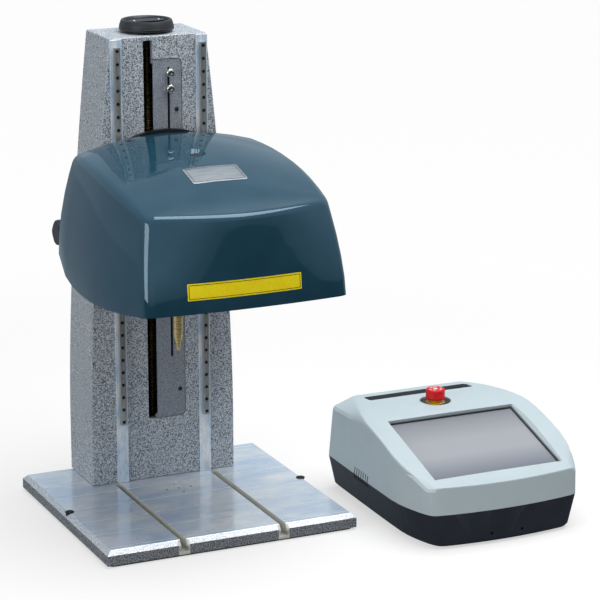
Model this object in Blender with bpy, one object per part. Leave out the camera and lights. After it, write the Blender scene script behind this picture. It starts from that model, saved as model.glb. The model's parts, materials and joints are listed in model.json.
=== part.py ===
"""Bench-top nameplate marking machine with its control console.

A tapered column stands at the back of a T-slotted base plate. The marking head rides on two
guide rails and is raised by a handwheel and a lead screw inside the column. Inside the head
cover a two-axis stage carries the marking stylus. The control console stands beside the base.
Metres, +Z up, +X to the right, +Y to the back. The origin is the middle of the base's
footprint, on the table.
"""

import math

import bmesh
import bpy
from mathutils import Vector

# Clearances and counts shared by all pieces
seat_gap = 0.0003
run_gap = 0.0004
cut_overrun = 0.002
round_sides = 24
middle_sides = 16
small_sides = 12
weld_distance = 0.00002
edge_angle = math.radians(35)

# Base plate on its rubber mat
base_width = 0.400
base_depth = 0.384
base_thickness = 0.0217
base_chamfer = 0.007
mat_thickness = 0.003
mat_inset = 0.004
mat_corner = 0.010
slot_spacing = 0.160
slot_throat = 0.010
slot_head_width = 0.017
slot_head_height = 0.007
slot_floor = 0.004
slot_stop = 0.0104
plug_radius = 0.0060
plug_edge_distance = 0.0080
plug_y = -0.006
plug_depth = 0.012
plug_sink = 0.0015
plug_crown_share = 0.6
fixture_hole_radius = 0.0025
fixture_hole_depth = 0.010
fixture_hole_offset = 0.020
fixture_centre_y = 0.028

# Column, seen from the front as a curved taper
column_height = 0.6988
column_front_y = 0.0894
column_half_foot = 0.119
column_half_top = 0.0782
column_taper_start = 0.095
column_taper_power_share = 1.65
column_stations = 12
column_side_wall = 0.008
column_front_wall = 0.010
column_floor = 0.012
column_roof = 0.006
column_edge = 0.0012
rear_panel_thickness = 0.0015
rear_panel_inset = 0.003

# Column front opening, its cover plate and the height limit in it
opening_left = -0.0246
opening_right = 0.0373
opening_bottom = 0.123
opening_top = 0.718
opening_slot_right = -0.0092
opening_corner = 0.004
plate_left = -0.0088
plate_top = 0.6880
plate_thickness = 0.0020
plate_recess = 0.0010
plate_corner = 0.009
plate_gap = 0.0008
plate_side_ledge = 0.012
plate_end_ledge = 0.006
plate_slot_x = 0.01655
plate_slot_width = 0.0040
plate_slot_bottom = 0.219
plate_slot_top = 0.6755
plate_screw_x = 0.0290
plate_screw_zs = (0.1655, 0.610)
plate_screw_radius = 0.0022
limit_upper_z = 0.6674
limit_screw_pitch = 0.0241
limit_block_width = 0.016
limit_block_depth = 0.014
limit_block_height = 0.036
limit_shank_radius = 0.0017
limit_head_radius = 0.0066
limit_head_height = 0.0060
limit_head_shares = ((1.0, 0.0), (1.0, 0.5), (0.75, 0.88), (0.3, 1.0))
limit_collar_radius = 0.0042
limit_collar_height = 0.0050
limit_travel_down = 0.420
limit_travel_up = 0.005

# Guide rails on machined strips, and their carriages
strip_width = 0.0185
strip_thickness = 0.0030
strip_top = 0.7225
rail_x = 0.0694
rail_width = 0.009
rail_height = 0.0065
rail_length = 0.590
rail_bottom = 0.1212
rail_hole_pitch = 0.020
rail_hole_end = 0.005
rail_hole_count = 30
rail_hole_radius = 0.0030
rail_hole_depth = 0.0035
rail_groove_depth = 0.0008
rail_groove_low = 0.0026
rail_groove_high = 0.0050
rail_hole_sides = 8
carriage_width = 0.020
carriage_height = 0.0080
carriage_length = 0.0308
carriage_lift = 0.0022
carriage_edge = 0.0008
carriage_low_z = 0.418
carriage_high_z = 0.520

# Lead screw drive and handwheel
screw_y = 0.137
screw_radius = 0.008
screw_journal_radius = 0.006
screw_foot = 0.060
screw_journal_length = 0.026
bearing_radius = 0.022
bearing_height = 0.0155
lower_bearing_width = 0.046
lower_bearing_depth = 0.058
lower_bearing_height = 0.020
lower_bearing_z = 0.064
roof_bore_radius = 0.010
wheel_radius = 0.042
wheel_height = 0.016
wheel_gap = 0.0030
wheel_collar_radius = 0.014
wheel_profile_shares = (
    (0.950, 0.0), (1.0, 0.12), (1.0, 0.32), (0.930, 0.90), (0.905, 0.98), (0.870, 1.0), (0.820, 0.93),
    (0.790, 0.74),
)
wheel_sides = 30
wheel_bore_depth = 0.009
insert_length = 0.058
insert_width = 0.024
insert_height = 0.0024
head_travel_up = 0.140
head_travel_down = 0.235

# Head back plate, nut bracket and lock
plate_back_width = 0.280
plate_back_thickness = 0.008
plate_back_bottom = 0.405
plate_back_crown = 0.5848
plate_back_arch_radius = 0.155
plate_back_corner = 0.012
nut_z = 0.468
nut_block_height = 0.020
nut_block_half = 0.020
nut_tongue_width = 0.012
nut_tongue_x = -0.0167
nut_foot_width = 0.040
nut_foot_height = 0.044
nut_foot_thickness = 0.006
nut_radius = 0.011
nut_flange_radius = 0.016
nut_flange_height = 0.006
nut_length = 0.034
nut_block_back = 0.019
lock_z = 0.4375
lock_block_width = 0.018
lock_block_depth = 0.012
lock_block_height = 0.030
lock_block_x = -0.097
lock_stud_radius = 0.004
lock_knob_x = -0.1730
lock_knob_radius = 0.020
lock_knob_length = 0.020
lock_knob_neck = 0.009
lock_knob_lobes = 5
lock_knob_scallop_share = 0.10
lock_knob_steps_per_lobe = 6
lock_knob_ring_shares = ((0.0, 0.80), (0.10, 0.95), (0.25, 1.0), (0.75, 1.0), (1.0, 0.86))
lock_neck_radius = 0.009
lock_bore_share = 0.7

# Head cover: half widths, fronts and heights of its lower rim and of its top ridge
cover_rear_y = 0.060
cover_wall = 0.004
rim_corner_x = 0.155
rim_corner_y = -0.250
rim_front_y = -0.2585
rim_widest_x = 0.183
rim_widest_y = -0.070
rim_rear_x = 0.176
rim_z = 0.385
rim_dip = 0.011
rim_dip_length = 0.300
rim_rise = 0.026
ridge_corner_x = 0.142
ridge_corner_y = -0.212
ridge_front_y = -0.249
ridge_widest_x = 0.153
ridge_widest_y = -0.060
ridge_rear_x = 0.148
ridge_front_z = 0.521
ridge_rear_z = 0.558
ridge_bow = 0.0095
crown_height = 0.023
cover_corner_round = 0.014
cover_ridge_round = 0.011
cover_spine_front_y = -0.150
wall_lean_share = 1.9
front_lean_share = 1.35
wall_level_shares = (0.0, 0.20, 0.42, 0.64, 0.82)
crown_inner_shares = (0.22, 0.46, 0.72, 1.0)
side_stations = 8
front_stations = 6
corner_steps = 4
ridge_steps = 4
dimple_x = 0.002
dimple_y = -0.051
dimple_radius = 0.0150
dimple_floor_radius = 0.0115
dimple_depth = 0.0075
dimple_wall = 0.0035
dimple_bore = 0.0042
cover_screw_radius = 0.0095
cover_screw_height = 0.0045
cover_screw_shank = 0.0036
cover_screw_profile_shares = ((1.0, 0.0), (1.0, 0.66), (0.70, 1.0))

# Frame inside the head
frame_half_width = 0.132
frame_wall = 0.008
frame_front_y = -0.186
frame_bottom = 0.456
frame_top = 0.514
frame_corner = 0.010
arch_width = 0.016
arch_top = 0.540
arch_bar = 0.010
pillar_radius = 0.009

# Two-axis stage and stylus
stylus_x = -0.0424
stylus_y = -0.084
stylus_tip_z = 0.2715
stage_y_back = 0.030
stage_y_forward = 0.050
stage_x_left = 0.015
stage_x_right = 0.099
guide_y_x = 0.090
guide_y_z = 0.468
guide_y_radius = 0.005
drive_y_z = 0.505
drive_radius = 0.004
bridge_offset_y = 0.046
bridge_half_width = 0.100
bridge_half_depth = 0.028
bridge_bottom = 0.470
bridge_top = 0.490
bridge_end_bottom = 0.458
bridge_window_half_width = 0.076
bridge_window_half_depth = 0.020
guide_x_z = 0.482
guide_x_offset = 0.0115
guide_x_radius = 0.004
drive_x_radius = 0.003
drive_nut_width = 0.022
drive_nut_depth = 0.008
drive_nut_top = 0.514
motor_y_width = 0.042
motor_y_length = 0.036
motor_x_width = 0.028
motor_x_length = 0.0205
motor_edge = 0.002
saddle_width = 0.036
saddle_depth = 0.036
saddle_bottom = 0.454
saddle_arm_top = 0.4682
saddle_top = 0.494
saddle_nose = 0.011
stylus_radius = 0.0065
stylus_top_z = 0.498
stylus_shoulder_z = 0.304
stylus_cone_radius = 0.0032
stylus_cone_z = 0.2935
stylus_nose_z = 0.283
stylus_nose_radius = 0.0026
pin_radius = 0.0011
pin_tip_radius = 0.0003
pin_tip_length = 0.0030
pin_head_length = 0.030
pin_stroke = 0.005
collar_radius = 0.0095
collar_height = 0.010

# Console: plan at the joint of its two shells
console_x = 0.382
console_joint_z = 0.054
console_wall = 0.003
console_rear_y = 0.006
console_rear_half = 0.139
console_rear_power_share = 1.5
console_widest_half = 0.144
console_widest_y = -0.236
console_taper = 0.0185
console_taper_length = 0.080
console_taper_power_share = 1.75
console_front_y = -0.3355
console_front_bow = 0.0115
console_front_half = 0.1225
console_front_stations_shares = (1.0, 0.72, 0.48, 0.24, 0.0)
console_rear_round = 0.018
console_front_round = 0.020
console_corner_steps = 4

# Console tub, on its feet
tub_floor_z = 0.0033
tub_floor = 0.003
tub_side_inset = 0.013
tub_front_inset = 0.005
tub_foot_round = 0.004
foot_radius = 0.008
foot_inset = 0.030
foot_front_y = -0.285
foot_rear_y = -0.030
notch_offset = 0.0255
notch_size = 0.0040
notch_depth = 0.030
notch_z = 0.016
vent_count = 7
vent_pitch = 0.0078
vent_width = 0.0028
vent_first_y = -0.099
vent_low_z = 0.0465
vent_high_z = 0.0665
vent_slant = 0.0045

# Console top. Stations from rear to front: share of the console's depth, share of the top's rise,
# and in shares of the widest half the crease between top and cheek, then the cheek wall's upper edge
# in shares of the rise and the wall's lean
top_rise = 0.098
top_shape_shares = (
    (0.0, 0.929, 0.639, 0.816, 0.07), (0.0761, 0.972, 0.719, 0.824, 0.06), (0.1640, 1.002, 0.802, 0.851, 0.04),
    (0.2518, 1.014, 0.878, 0.870, 0.02), (0.3104, 1.015, 0.922, 0.880, 0.01), (0.3690, 1.006, 0.960, 0.889, 0.0),
    (0.4275, 0.980, 0.987, 0.885, 0.0), (0.4861, 0.942, 1.0, 0.867, 0.0), (0.5593, 0.887, 1.0, 0.807, 0.0),
    (0.6325, 0.818, 1.0, 0.739, 0.0), (0.7057, 0.741, 1.0, 0.663, 0.0), (0.7643, 0.676, 0.982, 0.602, 0.0),
    (0.8082, 0.624, 0.960, 0.568, 0.0), (0.8521, 0.573, 0.897, 0.530, 0.0), (0.8960, 0.520, 0.842, 0.457, 0.0),
    (0.9335, 0.471, 0.807, 0.383, 0.0), (0.9590, 0.448, 0.786, 0.408, 0.0), (0.9736, 0.438, 0.773, 0.412, 0.0),
    (1.0, 0.427, 0.771, 0.400, 0.0),
)
top_side_stations = 14
top_spine_station = 16
lean_front_share = 0.04
top_crown = 0.0018
top_crown_power_share = 4
top_crest_share = 0.82
top_crease_round = 0.004
top_crease_steps = 2
cheek_edge_round = 0.003
crease_fall = 0.006
longest_ease_share = 0.45

# Screen, set deep between the console's arched cheeks
screen_half_width = 0.107
screen_front_y = -0.304
screen_front_z = 0.101
screen_rear_y = -0.147
screen_rear_z = 0.146
screen_glass_depth = 0.0045
screen_panel_thickness = 0.006
screen_frame_height = 0.0015
screen_frame_band = 0.0025
screen_flare_share = 0.75
screen_well_clearance = 0.020

# Console grip slot and stop button
grip_half = 0.091
grip_y = -0.0445
grip_width = 0.0145
grip_depth = 0.024
grip_round = 0.004
stop_y = -0.096
stop_recess_radius = 0.0245
stop_recess_z = 0.1482
stop_seat_thickness = 0.004
stop_ring_radius = 0.0205
stop_ring_height = 0.0032
stop_neck_radius = 0.0065
stop_stem_radius = 0.0105
stop_travel = 0.004
stop_head_radius = 0.0153
stop_head_bottom = 0.1590
stop_head_height = 0.0135
stop_head_profile_shares = ((0.80, 0.0), (1.0, 0.16), (1.0, 0.55), (0.93, 0.80), (0.72, 0.95), (0.40, 1.0))
stop_block_size = 0.030
stop_block_height = 0.026
stop_block_bore_depth = 0.012

# Power entry and head socket in the tub's rear wall
port_z = 0.030
entry_offset_x = -0.070
entry_flange = (0.054, 0.026)
entry_body = (0.048, 0.021)
entry_lip = 0.0016
entry_depth = 0.022
inlet_offset_x = -0.0115
inlet_mouth = (0.021, 0.015)
inlet_mouth_depth = 0.014
bay_offset_x = 0.0145
bay_mouth = (0.0136, 0.0188)
bay_depth = 0.0065
rocker_width = 0.0124
rocker_half_height = 0.0080
rocker_axis_depth = 0.0026
rocker_end_rise = 0.0028
rocker_middle_rise = 0.0012
rocker_end_drop = 0.0005
rocker_middle_drop = 0.0024
rocker_tilt = math.radians(9)
socket_offset_x = 0.070
socket_radius = 0.010
socket_flange = 0.0125
socket_lip = 0.002
socket_inside_length = 0.014
socket_outside_length = 0.006
socket_mouth_radius = 0.0072
socket_mouth_depth = 0.012

# Places worked out from the driving sizes
base_bottom = mat_thickness + seat_gap
base_top = base_bottom + base_thickness
column_bottom = base_top + seat_gap
column_top = column_bottom + column_height
column_rear_y = base_depth / 2 - rear_panel_thickness - seat_gap
column_inner_y = column_front_y + column_front_wall
strip_face_y = column_front_y - seat_gap - strip_thickness
rail_foot_y = strip_face_y - seat_gap
rail_face_y = rail_foot_y - rail_height
carriage_back_y = rail_foot_y - carriage_lift
carriage_face_y = carriage_back_y - carriage_height
back_plate_rear_y = carriage_face_y - seat_gap
back_plate_front_y = back_plate_rear_y - plate_back_thickness
frame_rear_y = back_plate_front_y - seat_gap
bridge_y = stylus_y + bridge_offset_y
console_depth = console_rear_y - console_front_y


def clear_scene():
    """Remove whatever the opened file holds."""
    for item in list(bpy.data.objects):
        bpy.data.objects.remove(item, do_unlink=True)


def linear_channel(value):
    """One sRGB channel, 0 to 1, as linear light."""
    if value <= 0.04045:
        return value / 12.92
    return ((value + 0.055) / 1.055) ** 2.4


def make_material(name, hex_colour, roughness, metallic):
    """A Principled material from an sRGB hex colour."""
    channels = [int(hex_colour[start:start + 2], 16) / 255 for start in (0, 2, 4)]
    colour = [linear_channel(value) for value in channels] + [1.0]
    made = bpy.data.materials.new(name)
    made.use_nodes = True
    shader = made.node_tree.nodes["Principled BSDF"]
    shader.inputs["Base Color"].default_value = colour
    shader.inputs["Roughness"].default_value = roughness
    shader.inputs["Metallic"].default_value = metallic
    made.diffuse_color = colour
    return made


def world_place(thing):
    """Where an unturned object stands, through its parents."""
    place = Vector(thing.location)
    while thing.parent:
        thing = thing.parent
        place = place + thing.location
    return place


def attach(child, parent):
    """Parent an object and leave it where it is."""
    place = world_place(child)
    child.parent = parent
    child.location = place - world_place(parent)


def add_axis(name, place, parent=None):
    """An empty on a joint's axis, which carries the pieces that move there."""
    axis = bpy.data.objects.new(name, None)
    axis.empty_display_size = screw_radius
    axis.location = place
    bpy.context.collection.objects.link(axis)
    if parent:
        axis.location = Vector(place) - world_place(parent)
        axis.parent = parent
    return axis


def add_piece(name, solid, finish, parent=None, origin=None, smooth=True):
    """Make an object from a bmesh in world places, with its origin on its parent or at origin."""
    bmesh.ops.remove_doubles(solid, verts=solid.verts, dist=weld_distance)
    bmesh.ops.recalc_face_normals(solid, faces=solid.faces)
    if origin is None:
        origin = world_place(parent) if parent else (0, 0, 0)
    bmesh.ops.translate(solid, verts=solid.verts, vec=-Vector(origin))
    mesh = bpy.data.meshes.new(name)
    solid.to_mesh(mesh)
    solid.free()
    piece = bpy.data.objects.new(name, mesh)
    piece.location = origin
    bpy.context.collection.objects.link(piece)
    if finish:
        mesh.materials.append(finish)
    if smooth:
        mesh.shade_smooth()
        mesh.set_sharp_from_angle(angle=edge_angle)
    if parent:
        attach(piece, parent)
    return piece


def hide_tool(tool, target):
    """Keep a cutting or joining shape with its piece, out of the finished model."""
    tool.hide_render = True
    tool.display_type = "WIRE"
    attach(tool, target)


def combine(target, solid, operation):
    """Cut, join or intersect a piece with a bmesh in world places."""
    tool = add_piece(target.name + "_tool", solid, None, smooth=False)
    hide_tool(tool, target)
    step = target.modifiers.new(operation.title(), "BOOLEAN")
    step.operation = operation
    step.object = tool
    step.solver = "EXACT"


def cut(target, solid):
    """Take a shape out of a piece."""
    combine(target, solid, "DIFFERENCE")


def join(target, solid):
    """Add a shape to a piece."""
    combine(target, solid, "UNION")


def round_edges(piece, width, steps=2, angle=edge_angle):
    """Bevel the piece's edges that are sharper than an angle."""
    step = piece.modifiers.new("Edges", "BEVEL")
    step.width = width
    step.segments = steps
    step.limit_method = "ANGLE"
    step.angle_limit = angle
    step.miter_outer = "MITER_SHARP"


def box(low, high):
    """A box between two corners."""
    solid = bmesh.new()
    bmesh.ops.create_cube(solid, size=1.0)
    size = [top - bottom for bottom, top in zip(low, high)]
    centre = [(top + bottom) / 2 for bottom, top in zip(low, high)]
    bmesh.ops.scale(solid, vec=size, verts=solid.verts)
    bmesh.ops.translate(solid, vec=centre, verts=solid.verts)
    return solid


def centred_box(centre, size):
    """A box about its centre."""
    low = [middle - length / 2 for middle, length in zip(centre, size)]
    high = [middle + length / 2 for middle, length in zip(centre, size)]
    return box(low, high)


def on_plane(point, level, axis):
    """A point of a flat outline set at a level along X, Y or Z."""
    first, second = point
    if axis == "X":
        return (level, first, second)
    if axis == "Y":
        return (first, level, second)
    return (first, second, level)


def prism(outline, low, high, axis):
    """Extrude a closed outline along X, Y or Z."""
    solid = bmesh.new()
    corners = [solid.verts.new(on_plane(point, low, axis)) for point in outline]
    face = solid.faces.new(corners)
    grown = bmesh.ops.extrude_face_region(solid, geom=[face])
    moved = [item for item in grown["geom"] if isinstance(item, bmesh.types.BMVert)]
    bmesh.ops.translate(solid, verts=moved, vec=on_plane((0, 0), high - low, axis))
    return solid


def circle(centre, radius, sides=small_sides):
    """A round outline, with a flat of its polygon at the bottom."""
    turns = [2 * math.pi * (step + 0.5) / sides for step in range(sides)]
    return [(centre[0] + radius * math.cos(turn), centre[1] + radius * math.sin(turn)) for turn in turns]


def rod(centre, radius, low, high, axis, sides=small_sides):
    """A round bar along X, Y or Z."""
    return prism(circle(centre, radius, sides), low, high, axis)


def turned(profile, centre, axis="Z", sides=round_sides):
    """Spin a profile of (radius, level) points about an axis through centre."""
    solid = bmesh.new()
    corners = [solid.verts.new((radius, 0, level)) for radius, level in profile]
    closed = profile[0][0] > 0
    pairs = list(zip(corners, corners[1:]))
    if closed:
        pairs.append((corners[-1], corners[0]))
    edges = [solid.edges.new(pair) for pair in pairs]
    bmesh.ops.spin(solid, geom=corners + edges, cent=(0, 0, 0), axis=(0, 0, 1),
                   angle=2 * math.pi, steps=sides, use_merge=True)
    bmesh.ops.remove_doubles(solid, verts=solid.verts, dist=weld_distance)
    order = {"X": (2, 0, 1), "Y": (0, 2, 1), "Z": (0, 1, 2)}[axis]
    for corner in solid.verts:
        corner.co = Vector([corner.co[place] for place in order]) + Vector(centre)
    return solid


def fillet(outline, radii, steps=3):
    """Round an outline's corners, each by its own radius."""
    rounded = []
    count = len(outline)
    for place, (corner, radius) in enumerate(zip(outline, radii)):
        here = Vector(corner)
        back = Vector(outline[place - 1]) - here
        ahead = Vector(outline[(place + 1) % count]) - here
        if radius <= 0:
            rounded.append(tuple(here))
            continue
        half = back.angle(ahead) / 2
        reach = min(radius / math.tan(half), back.length / 2, ahead.length / 2)
        start = here + back.normalized() * reach
        end = here + ahead.normalized() * reach
        for step in range(steps + 1):
            share = step / steps
            bent = start * (1 - share) ** 2 + here * (2 * share * (1 - share)) + end * share ** 2
            rounded.append(tuple(bent))
    return rounded


def tipped(outline, centre, angle):
    """Turn a flat outline about a centre."""
    turned_points = []
    for first, second in outline:
        across = first - centre[0]
        up = second - centre[1]
        turned_points.append((centre[0] + across * math.cos(angle) - up * math.sin(angle),
                              centre[1] + across * math.sin(angle) + up * math.cos(angle)))
    return turned_points


def rectangle(low, high):
    """Four corners of a flat rectangle."""
    return [(low[0], low[1]), (high[0], low[1]), (high[0], high[1]), (low[0], high[1])]


def rounded_rectangle(low, high, radius, steps=3):
    """A rectangle outline with four equal round corners."""
    return fillet(rectangle(low, high), [radius] * 4, steps)


def loft(rings):
    """Close a stack of equal rings into one body."""
    solid = bmesh.new()
    rows = [[solid.verts.new(point) for point in ring] for ring in rings]
    count = len(rows[0])
    for lower, upper in zip(rows, rows[1:]):
        for place in range(count):
            after = (place + 1) % count
            solid.faces.new((lower[place], lower[after], upper[after], upper[place]))
    solid.faces.new(rows[0])
    solid.faces.new(rows[-1])
    return solid


def add_all(target, extra):
    """Put one bmesh's faces into another."""
    copied = {corner: target.verts.new(corner.co) for corner in extra.verts}
    for face in extra.faces:
        target.faces.new([copied[corner] for corner in face.verts])
    extra.free()


def between(start, end, share):
    """The value a share of the way from start to end."""
    return start + (end - start) * share


def clamp_share(value):
    """Hold a share between 0 and 1."""
    return min(1.0, max(0.0, value))


clear_scene()

hammertone = make_material("hammertone_grey", "8f9499", 0.45, 0.3)
machined = make_material("machined_aluminium", "d3d8dc", 0.28, 1.0)
rubber = make_material("black_rubber", "17181a", 0.85, 0.0)
black_plastic = make_material("black_plastic", "1b1c1f", 0.35, 0.0)
rail_steel = make_material("rail_steel", "b9bcc0", 0.22, 1.0)
dark_steel = make_material("dark_steel", "4a4d52", 0.35, 1.0)
bright_nickel = make_material("bright_nickel", "d9d6cf", 0.12, 1.0)
brass = make_material("brass", "c79a45", 0.22, 1.0)
bronze = make_material("bronze", "a9743a", 0.35, 1.0)
black_anodised = make_material("black_anodised", "222327", 0.4, 0.6)
cover_green = make_material("cover_gloss_blue_green", "2c4552", 0.12, 0.0)
tub_slate = make_material("tub_slate", "333942", 0.55, 0.0)
shell_grey = make_material("shell_blue_grey", "b3c2c7", 0.5, 0.0)
glass_grey = make_material("screen_glass", "6f747b", 0.1, 0.0)
stop_red = make_material("stop_red", "c4151c", 0.35, 0.0)
stop_yellow = make_material("stop_yellow", "e5b60c", 0.5, 0.0)
board_green = make_material("circuit_board", "1f5a3a", 0.5, 0.0)
zinc = make_material("zinc_plated", "a7abb0", 0.35, 1.0)


# Base plate and mat
def base_ring(level, inset):
    """The base plate's outline at one level."""
    half_x = base_width / 2 - inset
    half_y = base_depth / 2 - inset
    return [(x, y, level) for x, y in rectangle((-half_x, -half_y), (half_x, half_y))]


def slot_profile():
    """Section of a T-slot, from its floor to above the plate, about x zero."""
    floor = base_bottom + slot_floor
    shoulder = floor + slot_head_height
    mouth = base_top + cut_overrun
    head = slot_head_width / 2
    throat = slot_throat / 2
    return [(-head, floor), (head, floor), (head, shoulder), (throat, shoulder),
            (throat, mouth), (-throat, mouth), (-throat, shoulder), (-head, shoulder)]


def build_base():
    """The T-slotted plate, its rubber mat and the two plugs in its side edges."""
    mat_half_x = base_width / 2 - mat_inset
    mat_half_y = base_depth / 2 - mat_inset
    outline = rounded_rectangle((-mat_half_x, -mat_half_y), (mat_half_x, mat_half_y), mat_corner)
    add_piece("base_mat", prism(outline, 0, mat_thickness, "Z"), rubber)

    chamfer_z = base_top - base_chamfer
    solid = loft([base_ring(base_bottom, 0), base_ring(chamfer_z, 0), base_ring(base_top, base_chamfer)])
    plate = add_piece("base_plate", solid, machined, smooth=False)
    slot_end_y = column_front_y - slot_stop
    for side in (-1, 1):
        centre = side * slot_spacing / 2
        section = [(centre + x, z) for x, z in slot_profile()]
        cut(plate, prism(section, -base_depth / 2 - cut_overrun, slot_end_y, "Y"))
        right_half = [(0, slot_profile()[0][1])] + slot_profile()[1:5] + [(0, base_top + cut_overrun)]
        cut(plate, turned(right_half, (centre, slot_end_y, 0), sides=middle_sides))
        plug_x = side * (base_width / 2 - plug_edge_distance)
        hole_bottom = base_top - plug_sink - plug_depth
        cut(plate, rod((plug_x, plug_y), plug_radius, hole_bottom, base_top + cut_overrun, "Z"))
        name = "edge_plug_left" if side < 0 else "edge_plug_right"
        dome = [(0, hole_bottom + seat_gap), (plug_radius - seat_gap, hole_bottom + seat_gap),
                (plug_radius - seat_gap, base_top - plug_sink - base_chamfer / 2),
                (plug_radius * plug_crown_share, base_top - plug_sink), (0, base_top - plug_sink)]
        add_piece(name, turned(dome, (plug_x, plug_y, 0), sides=small_sides), rubber,
                  origin=(plug_x, plug_y, base_top))
    holes = bmesh.new()
    reach = fixture_hole_offset
    for x, y in ((0, 0), (reach, 0), (-reach, 0), (0, reach), (0, -reach)):
        add_all(holes, rod((x, fixture_centre_y + y), fixture_hole_radius,
                           base_top - fixture_hole_depth, base_top + cut_overrun, "Z", rail_hole_sides))
    cut(plate, holes)


# Column
def column_half(level, inset=0.0):
    """Half the column's width at a height above its foot."""
    taper = max(0.0, level - column_taper_start) / (column_height - column_taper_start)
    return column_half_foot - (column_half_foot - column_half_top) * taper ** column_taper_power_share - inset


def column_outline(inset, low, high):
    """The column's front view between two heights above its foot."""
    levels = [low] + [between(max(low, column_taper_start), high, step / column_stations)
                      for step in range(column_stations + 1)]
    levels = sorted(set(levels))
    right = [(column_half(level, inset), column_bottom + level) for level in levels]
    left = [(-x, z) for x, z in reversed(right)]
    return right + left


def build_column():
    """Tapered hollow column, its rear panel, the opening's cover plate and machined strips."""
    outline = column_outline(0, 0, column_height)
    column = add_piece("column", prism(outline, column_front_y, column_rear_y, "Y"), hammertone, smooth=False)
    round_edges(column, column_edge, 1)
    inner = column_outline(column_side_wall, column_floor, column_height - column_roof)
    cut(column, prism(inner, column_inner_y, column_rear_y + cut_overrun, "Y"))

    wall_out = column_front_y - cut_overrun
    wall_in = column_inner_y + cut_overrun
    slot = rounded_rectangle((opening_left, opening_bottom), (opening_slot_right, opening_top), opening_corner)
    cut(column, prism(slot, wall_out, wall_in, "Y"))
    window_left = opening_slot_right - opening_corner
    window_right = opening_right - plate_side_ledge
    window = rectangle((window_left, opening_bottom + plate_end_ledge),
                       (window_right, plate_top - plate_end_ledge))
    cut(column, prism(window, wall_out, wall_in, "Y"))
    rebate_low = (opening_slot_right - opening_corner, opening_bottom - plate_gap)
    rebate_high = (opening_right + plate_gap, plate_top + plate_gap)
    rebate = fillet(rectangle(rebate_low, rebate_high), [0, plate_corner, plate_corner, 0], 4)
    rebate_floor = column_front_y + plate_recess + plate_thickness + seat_gap
    cut(column, prism(rebate, wall_out, rebate_floor, "Y"))
    cut(column, rod((0, screw_y), roof_bore_radius, column_top - column_roof - cut_overrun,
                    column_top + cut_overrun, "Z", round_sides))

    plate_low = (plate_left, opening_bottom)
    plate_high = (opening_right, plate_top)
    shape = fillet(rectangle(plate_low, plate_high), [0, plate_corner, plate_corner, 0], 4)
    face_y = column_front_y + plate_recess
    cover = add_piece("opening_cover", prism(shape, face_y, face_y + plate_thickness, "Y"), hammertone,
                      smooth=False)
    half = plate_slot_width / 2
    groove = rounded_rectangle((plate_slot_x - half, plate_slot_bottom), (plate_slot_x + half, plate_slot_top),
                               half)
    cut(cover, prism(groove, wall_out, wall_in, "Y"))
    for level in plate_screw_zs:
        cut(cover, rod((plate_screw_x, level), plate_screw_radius, wall_out, wall_in, "Y", rail_hole_sides))

    shape = column_outline(rear_panel_inset, rear_panel_inset, column_height - rear_panel_inset)
    panel_y = column_rear_y + seat_gap
    add_piece("rear_panel", prism(shape, panel_y, panel_y + rear_panel_thickness, "Y"), hammertone,
              smooth=False)

    for side, name in ((-1, "rail_strip_left"), (1, "rail_strip_right")):
        low = (side * rail_x - strip_width / 2, strip_face_y, column_bottom)
        high = (side * rail_x + strip_width / 2, strip_face_y + strip_thickness, strip_top)
        strip = add_piece(name, box(low, high), machined, smooth=False)
        round_edges(strip, carriage_edge / 2, 1)


def rail_section(centre):
    """Plan of a profile rail with a ball groove in each flank."""
    half = rail_width / 2
    foot = rail_foot_y
    low_y = foot - rail_groove_low
    high_y = foot - rail_groove_high
    middle_y = (low_y + high_y) / 2
    right = [(half, foot), (half, low_y), (half - rail_groove_depth, middle_y), (half, high_y),
             (half, rail_face_y)]
    left = [(-x, y) for x, y in reversed(right)]
    return [(centre + x, y) for x, y in right + left]


def build_rails():
    """Two profile rails with their rows of counterbored holes."""
    for side, name in ((-1, "rail_left"), (1, "rail_right")):
        centre = side * rail_x
        rail = add_piece(name, prism(rail_section(centre), rail_bottom, rail_bottom + rail_length, "Z"),
                         rail_steel, smooth=False)
        holes = bmesh.new()
        for place in range(rail_hole_count):
            level = rail_bottom + rail_hole_end + place * rail_hole_pitch
            add_all(holes, rod((centre, level), rail_hole_radius, rail_face_y - cut_overrun,
                               rail_face_y + rail_hole_depth, "Y", rail_hole_sides))
        cut(rail, holes)


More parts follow.
